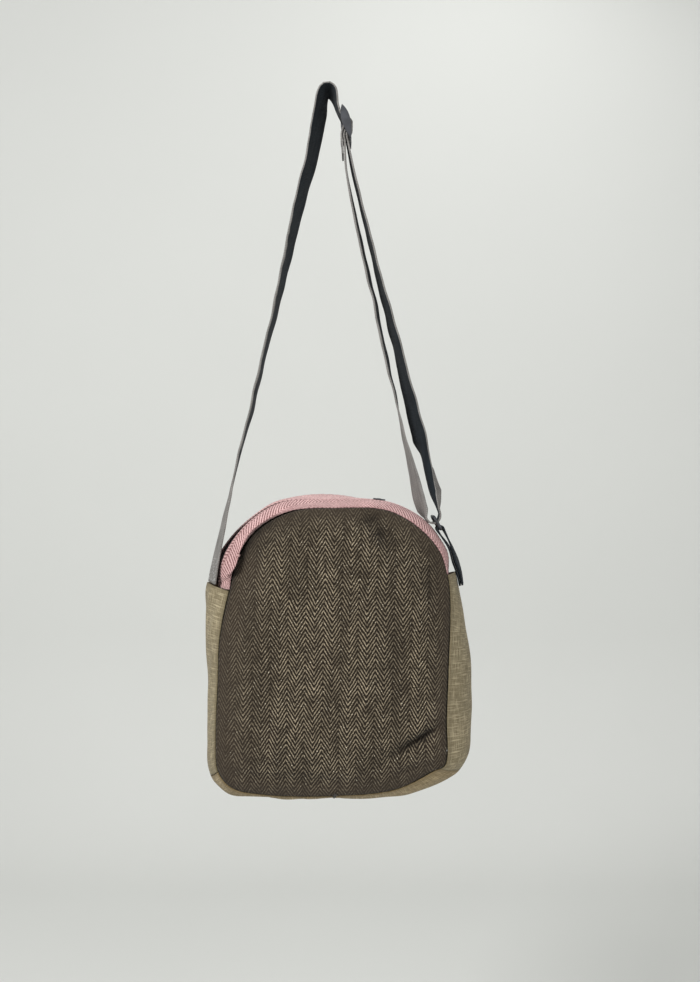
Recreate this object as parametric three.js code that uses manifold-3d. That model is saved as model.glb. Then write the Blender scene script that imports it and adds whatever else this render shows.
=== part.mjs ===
// Hemp crossbody bag, hanging by its strap.
// Millimetres, +X to the right, +Y to the back, +Z up.
// The origin lies in the top of the strap's bend, by which the bag hangs.
import * as THREE from "three";
import { mergeVertices } from "three/addons/utils/BufferGeometryUtils.js";
import loadManifold from "manifold-3d";

const manifold = await loadManifold();
manifold.setup();

// Driving sizes
const clothThickness = 2;
const bandThickness = 1.8;
const tapeThickness = 1;
const webbingWidth = 25;
const webbingThickness = 2;
const bagCentre = new THREE.Vector3(11.2, -28, -720);
const panelCentreX = -4;
const panelCentreHeight = 152;
const frontFaceDepth = -47;
const backSeamDepth = 36;
const backFaceDepth = 42.5;
const backScale = 0.93;
const backFlatReach = 0.8;
const crownPower = 5;
const hollowPower = 8;

// Seams: where each cloth piece starts and ends, counted in rows of the body table
const leftHeelSeam = 3;
const leftTopSeam = 7;
const rightTopSeam = 15;
const rightHeelSeam = 19.5;
const rowTrim = 0.012;
const bandTrim = 0.035;
const chainTrim = 0.1;
const acrossTrim = 0.01;
const panelTrim = 0.989;

// Zip: it opens wider to the front at the left shoulder, and its tape reaches under the pink bands
const zipHalfGap = 0.022;
const zipShoulderGap = 0.11;
const zipShoulderShift = 0.11;
const zipShoulderRow = 8.2;
const zipShoulderRows = 1.6;
const tapeHalfWidth = 0.16;
const tapeSink = 3.6;
const chainWidth = 4;
const chainTopWidth = 2.4;
const chainHeight = 1.2;
const chainGap = 0.3;

// The body's outline, from the bottom middle up the left side and round.
// Front columns give the front seam, side columns the widest line of the gusset.
const bodyRows = named(
  ["place", "frontX", "frontDepth", "frontHeight", "sideX", "sideHeight", "backLift"],
  [
    ["bottom middle", -2.5, -32, 12, -2.5, 4, 0],
    ["bottom left", -70.5, -32, 13, -72.5, 4.5, 0],
    ["left corner foot", -103.5, -32, 20, -111.5, 9, 0],
    ["left corner heel", -116.5, -33, 36, -127.5, 25, 0],
    ["left side low", -119, -33, 68, -130.5, 60, 0],
    ["left side middle", -117, -33, 118, -130.5, 116, 0],
    ["left side high", -115, -32, 166, -132.5, 168, 0],
    ["left gusset top", -106, -29, 211, -131, 217, 0],
    ["left shoulder low", -97, -25, 246, -119, 246, 0],
    ["left shoulder high", -77, -24, 272, -96.5, 274, 0],
    ["arch left", -44.5, -27, 289, -60.5, 297, 11],
    ["arch top", 1.5, -29, 292.5, -8, 299.5, 15.5],
    ["arch right", 47.5, -30, 290, 51.5, 297, 5],
    ["right shoulder high", 77.5, -31, 274, 87.5, 278, 0],
    ["right shoulder low", 98.5, -31, 251, 106.5, 252, 0],
    ["right gusset top", 106.5, -32, 227, 116.5, 228, 0],
    ["right side high", 109, -32, 200, 123.5, 192, 0],
    ["right side middle", 107, -33, 142, 131.5, 140, 0],
    ["right side low", 105, -33, 88, 132.5, 86, 0],
    ["right corner heel", 103.5, -32, 42, 128.5, 42, 0],
    ["right corner foot", 92, -31, 35.8, 113, 22.5, 0],
    ["bottom right", 55.5, -31, 18, 61.5, 5, 0],
  ],
);

// Hollows pressed into the front panel, each a soft oval turned in the panel's plane
const panelHollows = named(
  ["place", "x", "height", "halfLength", "halfWidth", "turn", "depth"],
  [
    ["under the arch at right", 38, 272, 26, 10, -50, 7],
    ["right shoulder", 84, 236, 34, 15, 100, 6],
    ["right of the middle", 50, 150, 95, 13, 92, 4],
    ["beside the pink roll", -78, 250, 26, 9, 55, 3],
    ["crease over the right corner", 78, 69, 27, 6, 32, 8],
    ["tuck over the bottom edge", -40, 30, 60, 6, -4, 3],
  ],
);

// Where the pink band stands proud of its curve, and where its ends tuck behind the gussets
const bandRolls = named(
  ["place", "row", "halfRows", "forward", "inward"],
  [
    ["left end", 7.86, 0.56, 18, 10],
    ["left shoulder", 9.1, 0.8, 10, 3],
  ],
);
const tuckReach = 0.2;
const bandTucks = named(
  ["place", "row", "halfRows", "inward"],
  [
    ["left end", leftTopSeam, 0.45, 8],
    ["right end", rightTopSeam, 0.5, 7],
  ],
);

// The strap's centre line. Twist is in degrees, below zero where the dark face turns to the front.
// Curl bends both edges to the grey side.
const strapColumns = ["place", "x", "y", "z", "twist", "curl"];
const leftLeg = named(strapColumns, [
  ["sewn end", -114, -37, -503, 22, 0],
  ["over the gusset", -112.6, -37, -494, 22, 0],
  ["beside the zip", -107.8, -35, -468, 18, 0],
  ["clear of the bag", -97.8, -32, -421, 12, 0],
  ["left low", -86.8, -28, -373, 2, 0],
  ["left middle low", -74.9, -24, -325, -2, 0],
  ["left middle", -63.9, -20, -276, -3, 0],
  ["left middle high", -52.6, -17, -227, -7, 0],
  ["left high", -42.3, -13, -178, -12, 0],
  ["left under the top", -31.3, -9, -128, -17, 0],
  ["left near the top", -19.9, -6, -84, -22, 0],
  ["left close to the top", -12, -3, -46, -27, 0],
  ["left foot of the bend", -7.8, -1, -22, -28, 0],
  ["left of the bend", -5.8, 0, -9, -24, 0],
  ["bend at left", -3.4, 0, -2, -21, 0],
  ["top of the bend", 0, 0, 0, -20, 0],
  ["bend at right", 4.6, 0, -2.6, -18, 0],
  ["right of the bend", 7.6, 0, -9, -10, 0],
  ["right foot of the bend", 9.8, -1, -18, -4, 0],
]);
const outerRun = named(strapColumns, [
  ["outer top", 25.5, -6, -84, -2, 0],
  ["outer high", 36, -8, -127, -2, 0],
  ["outer middle high", 48.1, -11, -177, -5, 0],
  ["outer middle", 60.2, -14, -226, -9, 0],
  ["outer middle low", 72.4, -18, -276, -15, 0],
  ["outer low", 83.8, -21, -324, -23, 0],
  ["outer over the ring", 92.6, -23, -361, -30, 0],
  ["outer fold starts", 97.8, -25, -391, 8, 8],
  ["outer fold", 103.4, -27, -414, 22, 9],
  ["outer into the ring", 109.8, -28, -429, 6, 2],
]);
const innerRun = named(strapColumns, [
  ["inner out of the ring", 95.2, -28, -431, 20, 0],
  ["inner over the ring", 91.6, -27, -419, 24, 0],
  ["inner fold", 85.4, -25, -391, 14, 0],
  ["inner low", 78.2, -23, -361, 4, 0],
  ["inner middle low", 69.8, -21, -324, -5, 0],
  ["inner middle", 59.1, -18, -276, -9, 0],
  ["inner middle high", 49, -14, -226, -10, 0],
  ["inner high", 37.6, -11, -177, -10, 0],
  ["inner under the top", 27, -8, -127, -8, 0],
  ["inner top", 19, -6, -84, -3, 0],
]);

// Three-bar slider with leaf-shaped cheeks: its own axes run down the strap and out to the right
const sliderCentre = new THREE.Vector3(19.2, -3, -39);
const sliderLean = THREE.MathUtils.degToRad(15);
const sliderBarSpacing = 12;
const sliderBarRadius = 1.5;
const sliderCheek = { length: 36, width: 9, thickness: 3, widestAt: -6 };
const webbingClearance = 1.3;
const sliderRoute = named(["down", "out"], [
  [-14.5, -3.2],
  [-11.5, -3.2],
  [-6.8, 0.2],
  [-3.8, 3.9],
  [0, 5.6],
  [3.8, 3.9],
  [6.8, 0.2],
  [11.5, -3.2],
  [15.5, -3.4],
]);

// The strap's end: up to the slider's middle bar, over it, and sewn back beside itself
const barWrapRadius = 3.1;
const barWrapRoute = named(["down", "out"], [
  [25, -8.2],
  [15.5, -6.2],
  [11, -5.8],
  [6.6, -3.2],
  [3.6, 0],
]);
const barWrapTurns = [100, 60, 20, -20, -60, -95];
const sewnTailRoute = named(["down", "out"], [
  [3.8, -4.4],
  [6.8, -6.7],
  [11, -8.4],
  [15.5, -8.9],
  [25, -10.8],
  [29, -11.6],
]);

// Ring: a rounded rectangle of round wire, its bars along the strap's width
const ringTopBar = new THREE.Vector3(105.5, -28, -437.5);
const ringLean = THREE.MathUtils.degToRad(30);
const ringBarSpacing = 14;
const ringWireRadius = 1.5;
const ringCornerRadius = 4;
const ringTurnRoute = named(["right", "up"], [
  [6.6, 0],
  [3.6, -5.4],
  [-2.6, -6.2],
  [-7.4, -1.4],
]);

// Tab: webbing from the outside of the right gusset's top, round the ring's lower bar and back
const tabOuter = named(strapColumns, [
  ["outer sewn end", 135.2, -28, -505, -7, 0],
  ["outer over the gusset's edge", 133.2, -28, -494, -9, 0],
  ["outer low", 129.2, -28, -481, -11, 0],
  ["outer middle", 124, -28, -467, -6, 0],
]);
const tabInner = named(strapColumns, [
  ["inner middle", 121.2, -28, -467.6, 6, 0],
  ["inner low", 126.4, -28, -481.6, 11, 0],
  ["inner over the gusset's edge", 130.5, -28, -494.4, 9, 0],
  ["inner sewn end", 132.8, -28, -505.5, 7, 0],
]);
const tabWrapRadius = 3;
const tabWrapTurns = [5, 50, 95, 140, 185];

// Zip slider on the arch, right of its top, with its pull laid to the back
const zipSliderRow = 11.8;
const zipSliderSize = { along: 12, across: 5, height: 1, lift: 0.3 };
const zipPullSize = { length: 7, width: 4 };

// Mesh density
const panelSpokes = 56;
const panelRings = 11;
const backSpokes = 44;
const backRings = [0.4, backFlatReach, 0.86, 0.93, panelTrim];
const panelRingSpread = 0.8;
const strapStep = 15;
const tabStep = 5;
const strapAcross = 4;

// Turns rows of bare values into rows with named columns
function named(columns, rows) {
  return rows.map((row) => Object.fromEntries(columns.map((column, i) => [column, row[i]])));
}

const rowCount = bodyRows.length;
const lerp = THREE.MathUtils.lerp;

// A soft hump: one at the middle, falling away over the half length
function hump(distance, halfLength) {
  return Math.exp(-((distance / halfLength) ** 2));
}

function closedCurve(points) {
  return new THREE.CatmullRomCurve3(points, true, "centripetal");
}

const frontSeam = closedCurve(
  bodyRows.map((row) => new THREE.Vector3(row.frontX, row.frontDepth, row.frontHeight)),
);
const widestLine = closedCurve(
  bodyRows.map((row) => new THREE.Vector3(row.sideX, 0, row.sideHeight)),
);
const backSeam = closedCurve(
  bodyRows.map((row) => {
    const x = lerp(panelCentreX, row.sideX, backScale);
    const height = lerp(panelCentreHeight, row.sideHeight, backScale) + row.backLift;
    return new THREE.Vector3(x, backSeamDepth, height);
  }),
);

// A curve's point at a row number, which may run past the last row
function atRow(curve, row) {
  return curve.getPoint(THREE.MathUtils.euclideanModulo(row / rowCount, 1));
}

// The gusset's outer face: a bow from the front seam (0) over the widest line to the back seam (1)
function gussetPoint(row, across) {
  const front = atRow(frontSeam, row);
  const back = atRow(backSeam, row);
  const middle = front.clone().add(back).multiplyScalar(0.5);
  const control = atRow(widestLine, row).multiplyScalar(2).sub(middle);
  return new THREE.QuadraticBezierCurve3(front, control, back).getPoint(across);
}

// Unit vector from the outline towards the panel's middle
function inwardAt(row) {
  const edge = atRow(widestLine, row);
  return new THREE.Vector3(panelCentreX - edge.x, 0, panelCentreHeight - edge.z).normalize();
}

// Where across the top the zip's middle runs, and half the gap that it runs in
function zipAcross(row) {
  return 0.5 - zipShoulderShift * hump(row - zipShoulderRow, zipShoulderRows);
}

function zipGap(row) {
  return zipHalfGap + zipShoulderGap * hump(row - zipShoulderRow, zipShoulderRows);
}

// The arch's outer face: the gusset's bow with its ends tucked in away from the seams
function archPoint(row, across) {
  const point = gussetPoint(row, across);
  const inward = inwardAt(row);
  const seamShare = Math.min(1, across / tuckReach, (1 - across) / tuckReach);
  for (const tuck of bandTucks) {
    point.addScaledVector(inward, seamShare * tuck.inward * hump(row - tuck.row, tuck.halfRows));
  }
  return point;
}

// The pink front band: the arch with its soft rolls
function frontBandPoint(row, share) {
  const zipEdge = zipAcross(row) - zipGap(row);
  const point = archPoint(row, lerp(acrossTrim, zipEdge, share));
  const fullness = Math.sin(Math.PI * share);
  for (const roll of bandRolls) {
    const size = fullness * hump(row - roll.row, roll.halfRows);
    point.addScaledVector(inwardAt(row), roll.inward * size);
    point.y -= roll.forward * size;
  }
  return point;
}

function backBandPoint(row, share) {
  return archPoint(row, lerp(zipAcross(row) + zipGap(row), 1 - acrossTrim, share));
}

// Depth of the panel's hollows at a point of its plane
function hollowDepth(x, height) {
  let depth = 0;
  for (const hollow of panelHollows) {
    const turn = THREE.MathUtils.degToRad(hollow.turn);
    const dx = x - hollow.x;
    const dz = height - hollow.height;
    const along = dx * Math.cos(turn) + dz * Math.sin(turn);
    const beside = dz * Math.cos(turn) - dx * Math.sin(turn);
    depth += hollow.depth * hump(along, hollow.halfLength) * hump(beside, hollow.halfWidth);
  }
  return depth;
}

// The front panel's outer face: a pillow, rolled back to the seam, with its hollows
function frontPanelPoint(row, reach) {
  const edge = atRow(frontSeam, row);
  const x = lerp(panelCentreX, edge.x, reach);
  const height = lerp(panelCentreHeight, edge.z, reach);
  const crown = 1 - reach ** crownPower;
  const inside = 1 - reach ** hollowPower;
  const depth = lerp(edge.y, frontFaceDepth, crown) + inside * hollowDepth(x, height);
  return new THREE.Vector3(x, depth, height);
}

// The back panel's outer face: flat, rolled forward to the seam at its rim
function backPanelPoint(row, reach) {
  const edge = atRow(backSeam, row);
  const roll = Math.max(0, (reach - backFlatReach) / (1 - backFlatReach)) ** 2;
  return new THREE.Vector3(
    lerp(panelCentreX, edge.x, reach),
    lerp(backFaceDepth, edge.y, roll),
    lerp(panelCentreHeight, edge.z, reach),
  );
}

// A sheet of points in rows and columns; its faces look along (first step) x (second step)
function gridSheet(pointAt, firstSteps, secondSteps) {
  const points = [];
  const triangles = [];
  for (let i = 0; i <= firstSteps; i += 1) {
    for (let j = 0; j <= secondSteps; j += 1) {
      points.push(pointAt(i / firstSteps, j / secondSteps));
    }
  }
  const index = (i, j) => i * (secondSteps + 1) + j;
  for (let i = 0; i < firstSteps; i += 1) {
    for (let j = 0; j < secondSteps; j += 1) {
      triangles.push([index(i, j), index(i + 1, j), index(i + 1, j + 1)]);
      triangles.push([index(i, j), index(i + 1, j + 1), index(i, j + 1)]);
    }
  }
  return { points, triangles };
}

// A sheet of rings round a middle point, for the panels
function ringSheet(pointAt, spokes, reaches) {
  const points = [pointAt(0, 0)];
  const triangles = [];
  for (const reach of reaches) {
    for (let i = 0; i < spokes; i += 1) {
      points.push(pointAt((i / spokes) * rowCount, reach));
    }
  }
  const index = (ring, i) => 1 + ring * spokes + (i % spokes);
  for (let i = 0; i < spokes; i += 1) {
    triangles.push([0, index(0, i + 1), index(0, i)]);
    for (let ring = 0; ring + 1 < reaches.length; ring += 1) {
      triangles.push([index(ring, i), index(ring, i + 1), index(ring + 1, i + 1)]);
      triangles.push([index(ring, i), index(ring + 1, i + 1), index(ring + 1, i)]);
    }
  }
  return { points, triangles };
}

function turnedOver(sheet) {
  return { points: sheet.points, triangles: sheet.triangles.map(([a, b, c]) => [a, c, b]) };
}

function sheetNormals(sheet) {
  const normals = sheet.points.map(() => new THREE.Vector3());
  for (const [a, b, c] of sheet.triangles) {
    const first = sheet.points[b].clone().sub(sheet.points[a]);
    const second = sheet.points[c].clone().sub(sheet.points[a]);
    const faceNormal = first.cross(second);
    normals[a].add(faceNormal);
    normals[b].add(faceNormal);
    normals[c].add(faceNormal);
  }
  return normals.map((normal) => normal.normalize());
}

function meshGeometry(points, triangles) {
  const geometry = new THREE.BufferGeometry();
  const numbers = points.flatMap((point) => [point.x, point.y, point.z]);
  geometry.setAttribute("position", new THREE.Float32BufferAttribute(numbers, 3));
  geometry.setIndex(triangles.flat());
  geometry.computeVertexNormals();
  return geometry;
}

// A cloth wall: the sheet, its inner face one thickness behind, and the rim between them
function clothWall(sheet, thickness, sink = 0) {
  const normals = sheetNormals(sheet);
  const count = sheet.points.length;
  const outer = sheet.points.map((point, i) => point.clone().addScaledVector(normals[i], -sink));
  const inner = outer.map((point, i) => point.clone().addScaledVector(normals[i], -thickness));
  const triangles = [...sheet.triangles];
  const edges = new Set();
  for (const [a, b, c] of sheet.triangles) {
    triangles.push([a + count, c + count, b + count]);
    edges.add(`${a},${b}`).add(`${b},${c}`).add(`${c},${a}`);
  }
  for (const edge of edges) {
    const [a, b] = edge.split(",").map(Number);
    if (edges.has(`${b},${a}`)) continue;
    triangles.push([b, a, a + count], [b, a + count, b + count]);
  }
  return meshGeometry([...outer, ...inner], triangles);
}

function signedVolume(points, triangles) {
  let volume = 0;
  for (const [a, b, c] of triangles) {
    volume += points[a].dot(points[b].clone().cross(points[c]));
  }
  return volume;
}

// A solid through a row of equal rings of points, capped at its ends or joined end to start
function loft(rings, joined = false) {
  const size = rings[0].length;
  const points = rings.flat();
  const triangles = [];
  const spans = joined ? rings.length : rings.length - 1;
  for (let i = 0; i < spans; i += 1) {
    const here = i * size;
    const next = ((i + 1) % rings.length) * size;
    for (let j = 0; j < size; j += 1) {
      const k = (j + 1) % size;
      triangles.push([here + j, here + k, next + k], [here + j, next + k, next + j]);
    }
  }
  const last = (rings.length - 1) * size;
  for (let j = 0; !joined && j + 1 < size / 2; j += 1) {
    const far = size - 1 - j;
    triangles.push([j, far, far - 1], [j, far - 1, j + 1]);
    triangles.push([last + j, last + far - 1, last + far], [last + j, last + j + 1, last + far - 1]);
  }
  const outward = signedVolume(points, triangles) > 0;
  return meshGeometry(points, outward ? triangles : triangles.map(([a, b, c]) => [a, c, b]));
}

// Webbing along a row of stations, each with its place, twist and curl
function webbing(stations, step) {
  const places = stations.map((station) => new THREE.Vector3(station.x, station.y, station.z));
  const curve = new THREE.CatmullRomCurve3(places, false, "centripetal");
  const spans = stations.length - 1;
  const rings = [];
  for (let i = 0; i < spans; i += 1) {
    const parts = Math.max(1, Math.round(places[i].distanceTo(places[i + 1]) / step));
    const lastPart = i === spans - 1 ? parts : parts - 1;
    for (let part = 0; part <= lastPart; part += 1) {
      const share = part / parts;
      const twist = lerp(stations[i].twist, stations[i + 1].twist, share);
      const curl = lerp(stations[i].curl, stations[i + 1].curl, share);
      rings.push(webbingRing(curve, (i + share) / spans, twist, curl));
    }
  }
  return loft(rings);
}

// One section of webbing: the grey face from front to back, then the dark face back to front
function webbingRing(curve, at, twist, curl) {
  const centre = curve.getPoint(at);
  const along = curve.getTangent(at);
  const toFront = new THREE.Vector3(0, -1, 0).addScaledVector(along, along.y).normalize();
  toFront.applyAxisAngle(along, THREE.MathUtils.degToRad(twist));
  const toDark = along.clone().cross(toFront);
  const halfWidth = Math.sqrt((webbingWidth / 2) ** 2 - curl ** 2);
  const grey = [];
  const dark = [];
  for (let i = 0; i < strapAcross; i += 1) {
    const side = 1 - (2 * i) / (strapAcross - 1);
    const point = centre.clone().addScaledVector(toFront, side * halfWidth);
    point.addScaledVector(toDark, -curl * side ** 2);
    grey.push(point.clone().addScaledVector(toDark, -webbingThickness / 2));
    dark.unshift(point.addScaledVector(toDark, webbingThickness / 2));
  }
  return [...grey, ...dark];
}

const sliderDown = new THREE.Vector3(Math.sin(sliderLean), 0, -Math.cos(sliderLean));
const sliderOut = new THREE.Vector3(Math.cos(sliderLean), 0, Math.sin(sliderLean));

// A strap station from the slider's own axes
function sliderStation({ down, out }) {
  const place = sliderCentre.clone().addScaledVector(sliderDown, down).addScaledVector(sliderOut, out);
  return { x: place.x, y: place.y, z: place.z, twist: 0, curl: 0 };
}

function ringStation({ right, up }) {
  return { x: ringTopBar.x + right, y: ringTopBar.y, z: ringTopBar.z + up, twist: 0, curl: 0 };
}

function barWrapStation(turn) {
  const angle = THREE.MathUtils.degToRad(turn);
  return sliderStation({ down: -barWrapRadius * Math.cos(angle), out: barWrapRadius * Math.sin(angle) });
}

// The strap from its sewn end, over its bend, through the slider, round the ring and back to the slider
function strapStations() {
  return [
    ...leftLeg,
    ...sliderRoute.map(sliderStation),
    ...outerRun,
    ...ringTurnRoute.map(ringStation),
    ...innerRun,
    ...barWrapRoute.map(sliderStation),
    ...barWrapTurns.map(barWrapStation),
    ...sewnTailRoute.map(sliderStation),
  ];
}

const ringDown = new THREE.Vector3(Math.sin(ringLean), 0, -Math.cos(ringLean));
const ringLowBar = ringTopBar.clone().addScaledVector(ringDown, ringBarSpacing);

function tabWrapStation(turn) {
  const angle = THREE.MathUtils.degToRad(turn);
  const x = ringLowBar.x + tabWrapRadius * Math.cos(angle);
  const z = ringLowBar.z + tabWrapRadius * Math.sin(angle);
  return { x, y: ringLowBar.y, z, twist: 0, curl: 0 };
}

// The slider in its own axes: two cheeks beside the webbing, joined by three round bars
function sliderGeometry() {
  const halfLength = sliderCheek.length / 2;
  const halfSlot = webbingWidth / 2 + webbingClearance;
  const leaf = new THREE.Shape();
  leaf.moveTo(-halfLength, 0);
  leaf.quadraticCurveTo(sliderCheek.widestAt, -sliderCheek.width, halfLength, 0);
  leaf.quadraticCurveTo(sliderCheek.widestAt, sliderCheek.width, -halfLength, 0);
  const pieces = [];
  for (const start of [halfSlot, -halfSlot - sliderCheek.thickness]) {
    const cheek = new THREE.ExtrudeGeometry(leaf, {
      depth: sliderCheek.thickness,
      bevelEnabled: false,
      curveSegments: 8,
    });
    pieces.push(cheek.translate(0, 0, start));
  }
  for (const place of [-1, 0, 1]) {
    const barLength = 2 * halfSlot + sliderCheek.thickness;
    const bar = new THREE.CylinderGeometry(sliderBarRadius, sliderBarRadius, barLength, 8);
    pieces.push(bar.rotateX(Math.PI / 2).translate(place * sliderBarSpacing, 0, 0));
  }
  return joinedGeometry(pieces);
}

// Joins closed geometries that reach into each other into one
function joinedGeometry(geometries) {
  const solids = geometries.map((geometry) => {
    geometry.deleteAttribute("normal");
    geometry.deleteAttribute("uv");
    const merged = mergeVertices(geometry);
    const vertProperties = merged.getAttribute("position").array;
    const triVerts = new Uint32Array(merged.getIndex().array);
    return new manifold.Manifold(new manifold.Mesh({ numProp: 3, vertProperties, triVerts }));
  });
  const whole = solids.reduce((sum, solid) => sum.add(solid)).getMesh();
  const geometry = new THREE.BufferGeometry();
  geometry.setAttribute("position", new THREE.BufferAttribute(whole.vertProperties, 3));
  geometry.setIndex(new THREE.BufferAttribute(whole.triVerts, 1));
  geometry.computeVertexNormals();
  return geometry;
}

// The ring's wire: a round section carried along a rounded rectangle
function ringGeometry() {
  const wireSides = 8;
  const cornerSteps = 4;
  const halfWidth = webbingWidth / 2 + webbingClearance + ringWireRadius;
  const halfHeight = ringBarSpacing / 2;
  const rings = [];
  for (let corner = 0; corner < 4; corner += 1) {
    const sideX = corner === 0 || corner === 3 ? 1 : -1;
    const sideY = corner < 2 ? 1 : -1;
    for (let step = 0; step <= cornerSteps; step += 1) {
      const angle = ((corner + step / cornerSteps) * Math.PI) / 2;
      const outward = new THREE.Vector3(Math.cos(angle), Math.sin(angle), 0);
      const centre = new THREE.Vector3(
        sideX * (halfWidth - ringCornerRadius),
        sideY * (halfHeight - ringCornerRadius),
        0,
      ).addScaledVector(outward, ringCornerRadius);
      rings.push(wireSection(centre, outward, wireSides));
    }
  }
  return loft(rings, true);
}

function wireSection(centre, outward, sides) {
  const section = [];
  for (let i = 0; i < sides; i += 1) {
    const angle = (i / sides) * 2 * Math.PI;
    const point = centre.clone().addScaledVector(outward, ringWireRadius * Math.cos(angle));
    point.z += ringWireRadius * Math.sin(angle);
    section.push(point);
  }
  return section;
}

// The zip's chain: a low ridge on the tape, along the arch
function chainGeometry() {
  const steps = 32;
  const rings = [];
  for (let i = 0; i <= steps; i += 1) {
    const row = lerp(leftTopSeam + chainTrim, rightTopSeam - chainTrim, i / steps);
    const { centre, across, out } = zipAxes(row);
    const base = centre.addScaledVector(out, chainGap - tapeSink);
    const top = base.clone().addScaledVector(out, chainHeight);
    rings.push([
      base.clone().addScaledVector(across, -chainWidth / 2),
      top.clone().addScaledVector(across, -chainTopWidth / 2),
      top.clone().addScaledVector(across, chainTopWidth / 2),
      base.clone().addScaledVector(across, chainWidth / 2),
    ]);
  }
  return loft(rings);
}

// The zip's middle, with unit vectors along it, across it to the back and out of the bag
function zipAxes(row) {
  const small = 0.02;
  const centre = archPoint(row, zipAcross(row));
  const along = archPoint(row + small, zipAcross(row)).sub(archPoint(row - small, zipAcross(row)));
  along.normalize();
  const across = archPoint(row, zipAcross(row) + small).sub(archPoint(row, zipAcross(row) - small));
  across.addScaledVector(along, -across.dot(along)).normalize();
  const out = along.clone().cross(across);
  return { centre, along, across, out };
}

// The zip slider seen from above: a rounded block with its pull as a tongue, as one piece
function zipSliderGeometry() {
  const halfAlong = zipSliderSize.along / 2;
  const halfAcross = zipSliderSize.across / 2;
  const halfPull = zipPullSize.width / 2;
  const tip = halfAcross + zipPullSize.length;
  const outline = new THREE.Shape();
  outline.moveTo(-halfAcross, -halfAlong);
  outline.lineTo(halfAcross, -halfAlong);
  outline.lineTo(halfAcross, -halfPull);
  outline.lineTo(tip - halfPull, -halfPull);
  outline.absarc(tip - halfPull, 0, halfPull, -Math.PI / 2, Math.PI / 2);
  outline.lineTo(halfAcross, halfPull);
  outline.lineTo(halfAcross, halfAlong);
  outline.lineTo(-halfAcross, halfAlong);
  return new THREE.ExtrudeGeometry(outline, {
    depth: zipSliderSize.height,
    bevelEnabled: false,
    curveSegments: 5,
  });
}

// Colours and finishes
const brownHerringbone = new THREE.MeshStandardMaterial({ color: 0x54493d, roughness: 0.95, metalness: 0 });
const tanHemp = new THREE.MeshStandardMaterial({ color: 0x978e77, roughness: 0.95, metalness: 0 });
const pinkHerringbone = new THREE.MeshStandardMaterial({ color: 0xc5a2a0, roughness: 0.95, metalness: 0 });
const blackZip = new THREE.MeshStandardMaterial({ color: 0x1d1d20, roughness: 0.7, metalness: 0 });
const greyWebbing = new THREE.MeshStandardMaterial({ color: 0x8a8784, roughness: 0.9, metalness: 0 });
const darkMetal = new THREE.MeshStandardMaterial({ color: 0x3a3c40, roughness: 0.45, metalness: 0.8 });

function piece(parent, name, geometry, material) {
  const mesh = new THREE.Mesh(geometry, material);
  mesh.name = name;
  parent.add(mesh);
  return mesh;
}

const bag = new THREE.Group();
const body = new THREE.Group();
body.position.copy(bagCentre);
bag.add(body);

const ringShares = Array.from({ length: panelRings }, (_, i) => (i + 1) / panelRings);
const panelReaches = ringShares.map((share) => panelTrim * share ** panelRingSpread);
const frontSheet = ringSheet(frontPanelPoint, panelSpokes, panelReaches);
piece(body, "front_panel", clothWall(frontSheet, clothThickness), brownHerringbone);
const backSheet = ringSheet(backPanelPoint, backSpokes, backRings);
piece(body, "back_panel", clothWall(turnedOver(backSheet), clothThickness), tanHemp);

// A gusset piece between two rows of the body table
function gussetPiece(name, fromRow, toRow, alongSteps, acrossSteps) {
  const pointAt = (u, v) => gussetPoint(
    lerp(fromRow + rowTrim, toRow - rowTrim, u),
    lerp(acrossTrim, 1 - acrossTrim, v),
  );
  piece(body, name, clothWall(gridSheet(pointAt, alongSteps, acrossSteps), clothThickness), tanHemp);
}

gussetPiece("side_gusset_left", leftHeelSeam, leftTopSeam, 14, 8);
gussetPiece("side_gusset_right", rightTopSeam, rightHeelSeam, 16, 8);
gussetPiece("bottom_gusset", rightHeelSeam - rowCount, leftHeelSeam, 20, 8);

// A piece of the arch between its two top seams
function archSheet(pointAt, alongSteps, acrossSteps) {
  const rowAt = (u) => lerp(leftTopSeam + bandTrim, rightTopSeam - bandTrim, u);
  return gridSheet((u, v) => pointAt(rowAt(u), v), alongSteps, acrossSteps);
}

const tapePoint = (row, share) => archPoint(row, zipAcross(row) + lerp(-tapeHalfWidth, tapeHalfWidth, share));
piece(body, "top_band_front", clothWall(archSheet(frontBandPoint, 36, 7), bandThickness), pinkHerringbone);
piece(body, "top_band_back", clothWall(archSheet(backBandPoint, 28, 5), bandThickness), pinkHerringbone);
piece(body, "zip_tape", clothWall(archSheet(tapePoint, 30, 2), tapeThickness, tapeSink), blackZip);
piece(body, "zip_chain", chainGeometry(), blackZip);

const zipSlider = piece(body, "zip_slider", zipSliderGeometry(), darkMetal);
const zipPlace = zipAxes(zipSliderRow);
const zipTurn = new THREE.Matrix4().makeBasis(zipPlace.across, zipPlace.along.clone().negate(), zipPlace.out);
zipSlider.position.copy(zipPlace.centre).addScaledVector(zipPlace.out, zipSliderSize.lift);
zipSlider.quaternion.setFromRotationMatrix(zipTurn);

piece(bag, "strap", webbing(strapStations(), strapStep), greyWebbing);
const tabStations = [...tabOuter, ...tabWrapTurns.map(tabWrapStation), ...tabInner];
piece(bag, "ring_tab", webbing(tabStations, tabStep), greyWebbing);

const slider = piece(bag, "strap_slider", sliderGeometry(), darkMetal);
const toFront = new THREE.Vector3(0, -1, 0);
const sliderTurn = new THREE.Matrix4().makeBasis(sliderDown, sliderOut, toFront);
slider.position.copy(sliderCentre);
slider.quaternion.setFromRotationMatrix(sliderTurn);

const ring = piece(bag, "strap_ring", ringGeometry(), darkMetal);
const ringTurn = new THREE.Matrix4().makeBasis(toFront, ringDown, toFront.clone().cross(ringDown));
ring.position.copy(ringTopBar).addScaledVector(ringDown, ringBarSpacing / 2);
ring.quaternion.setFromRotationMatrix(ringTurn);

export default bag;
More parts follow.
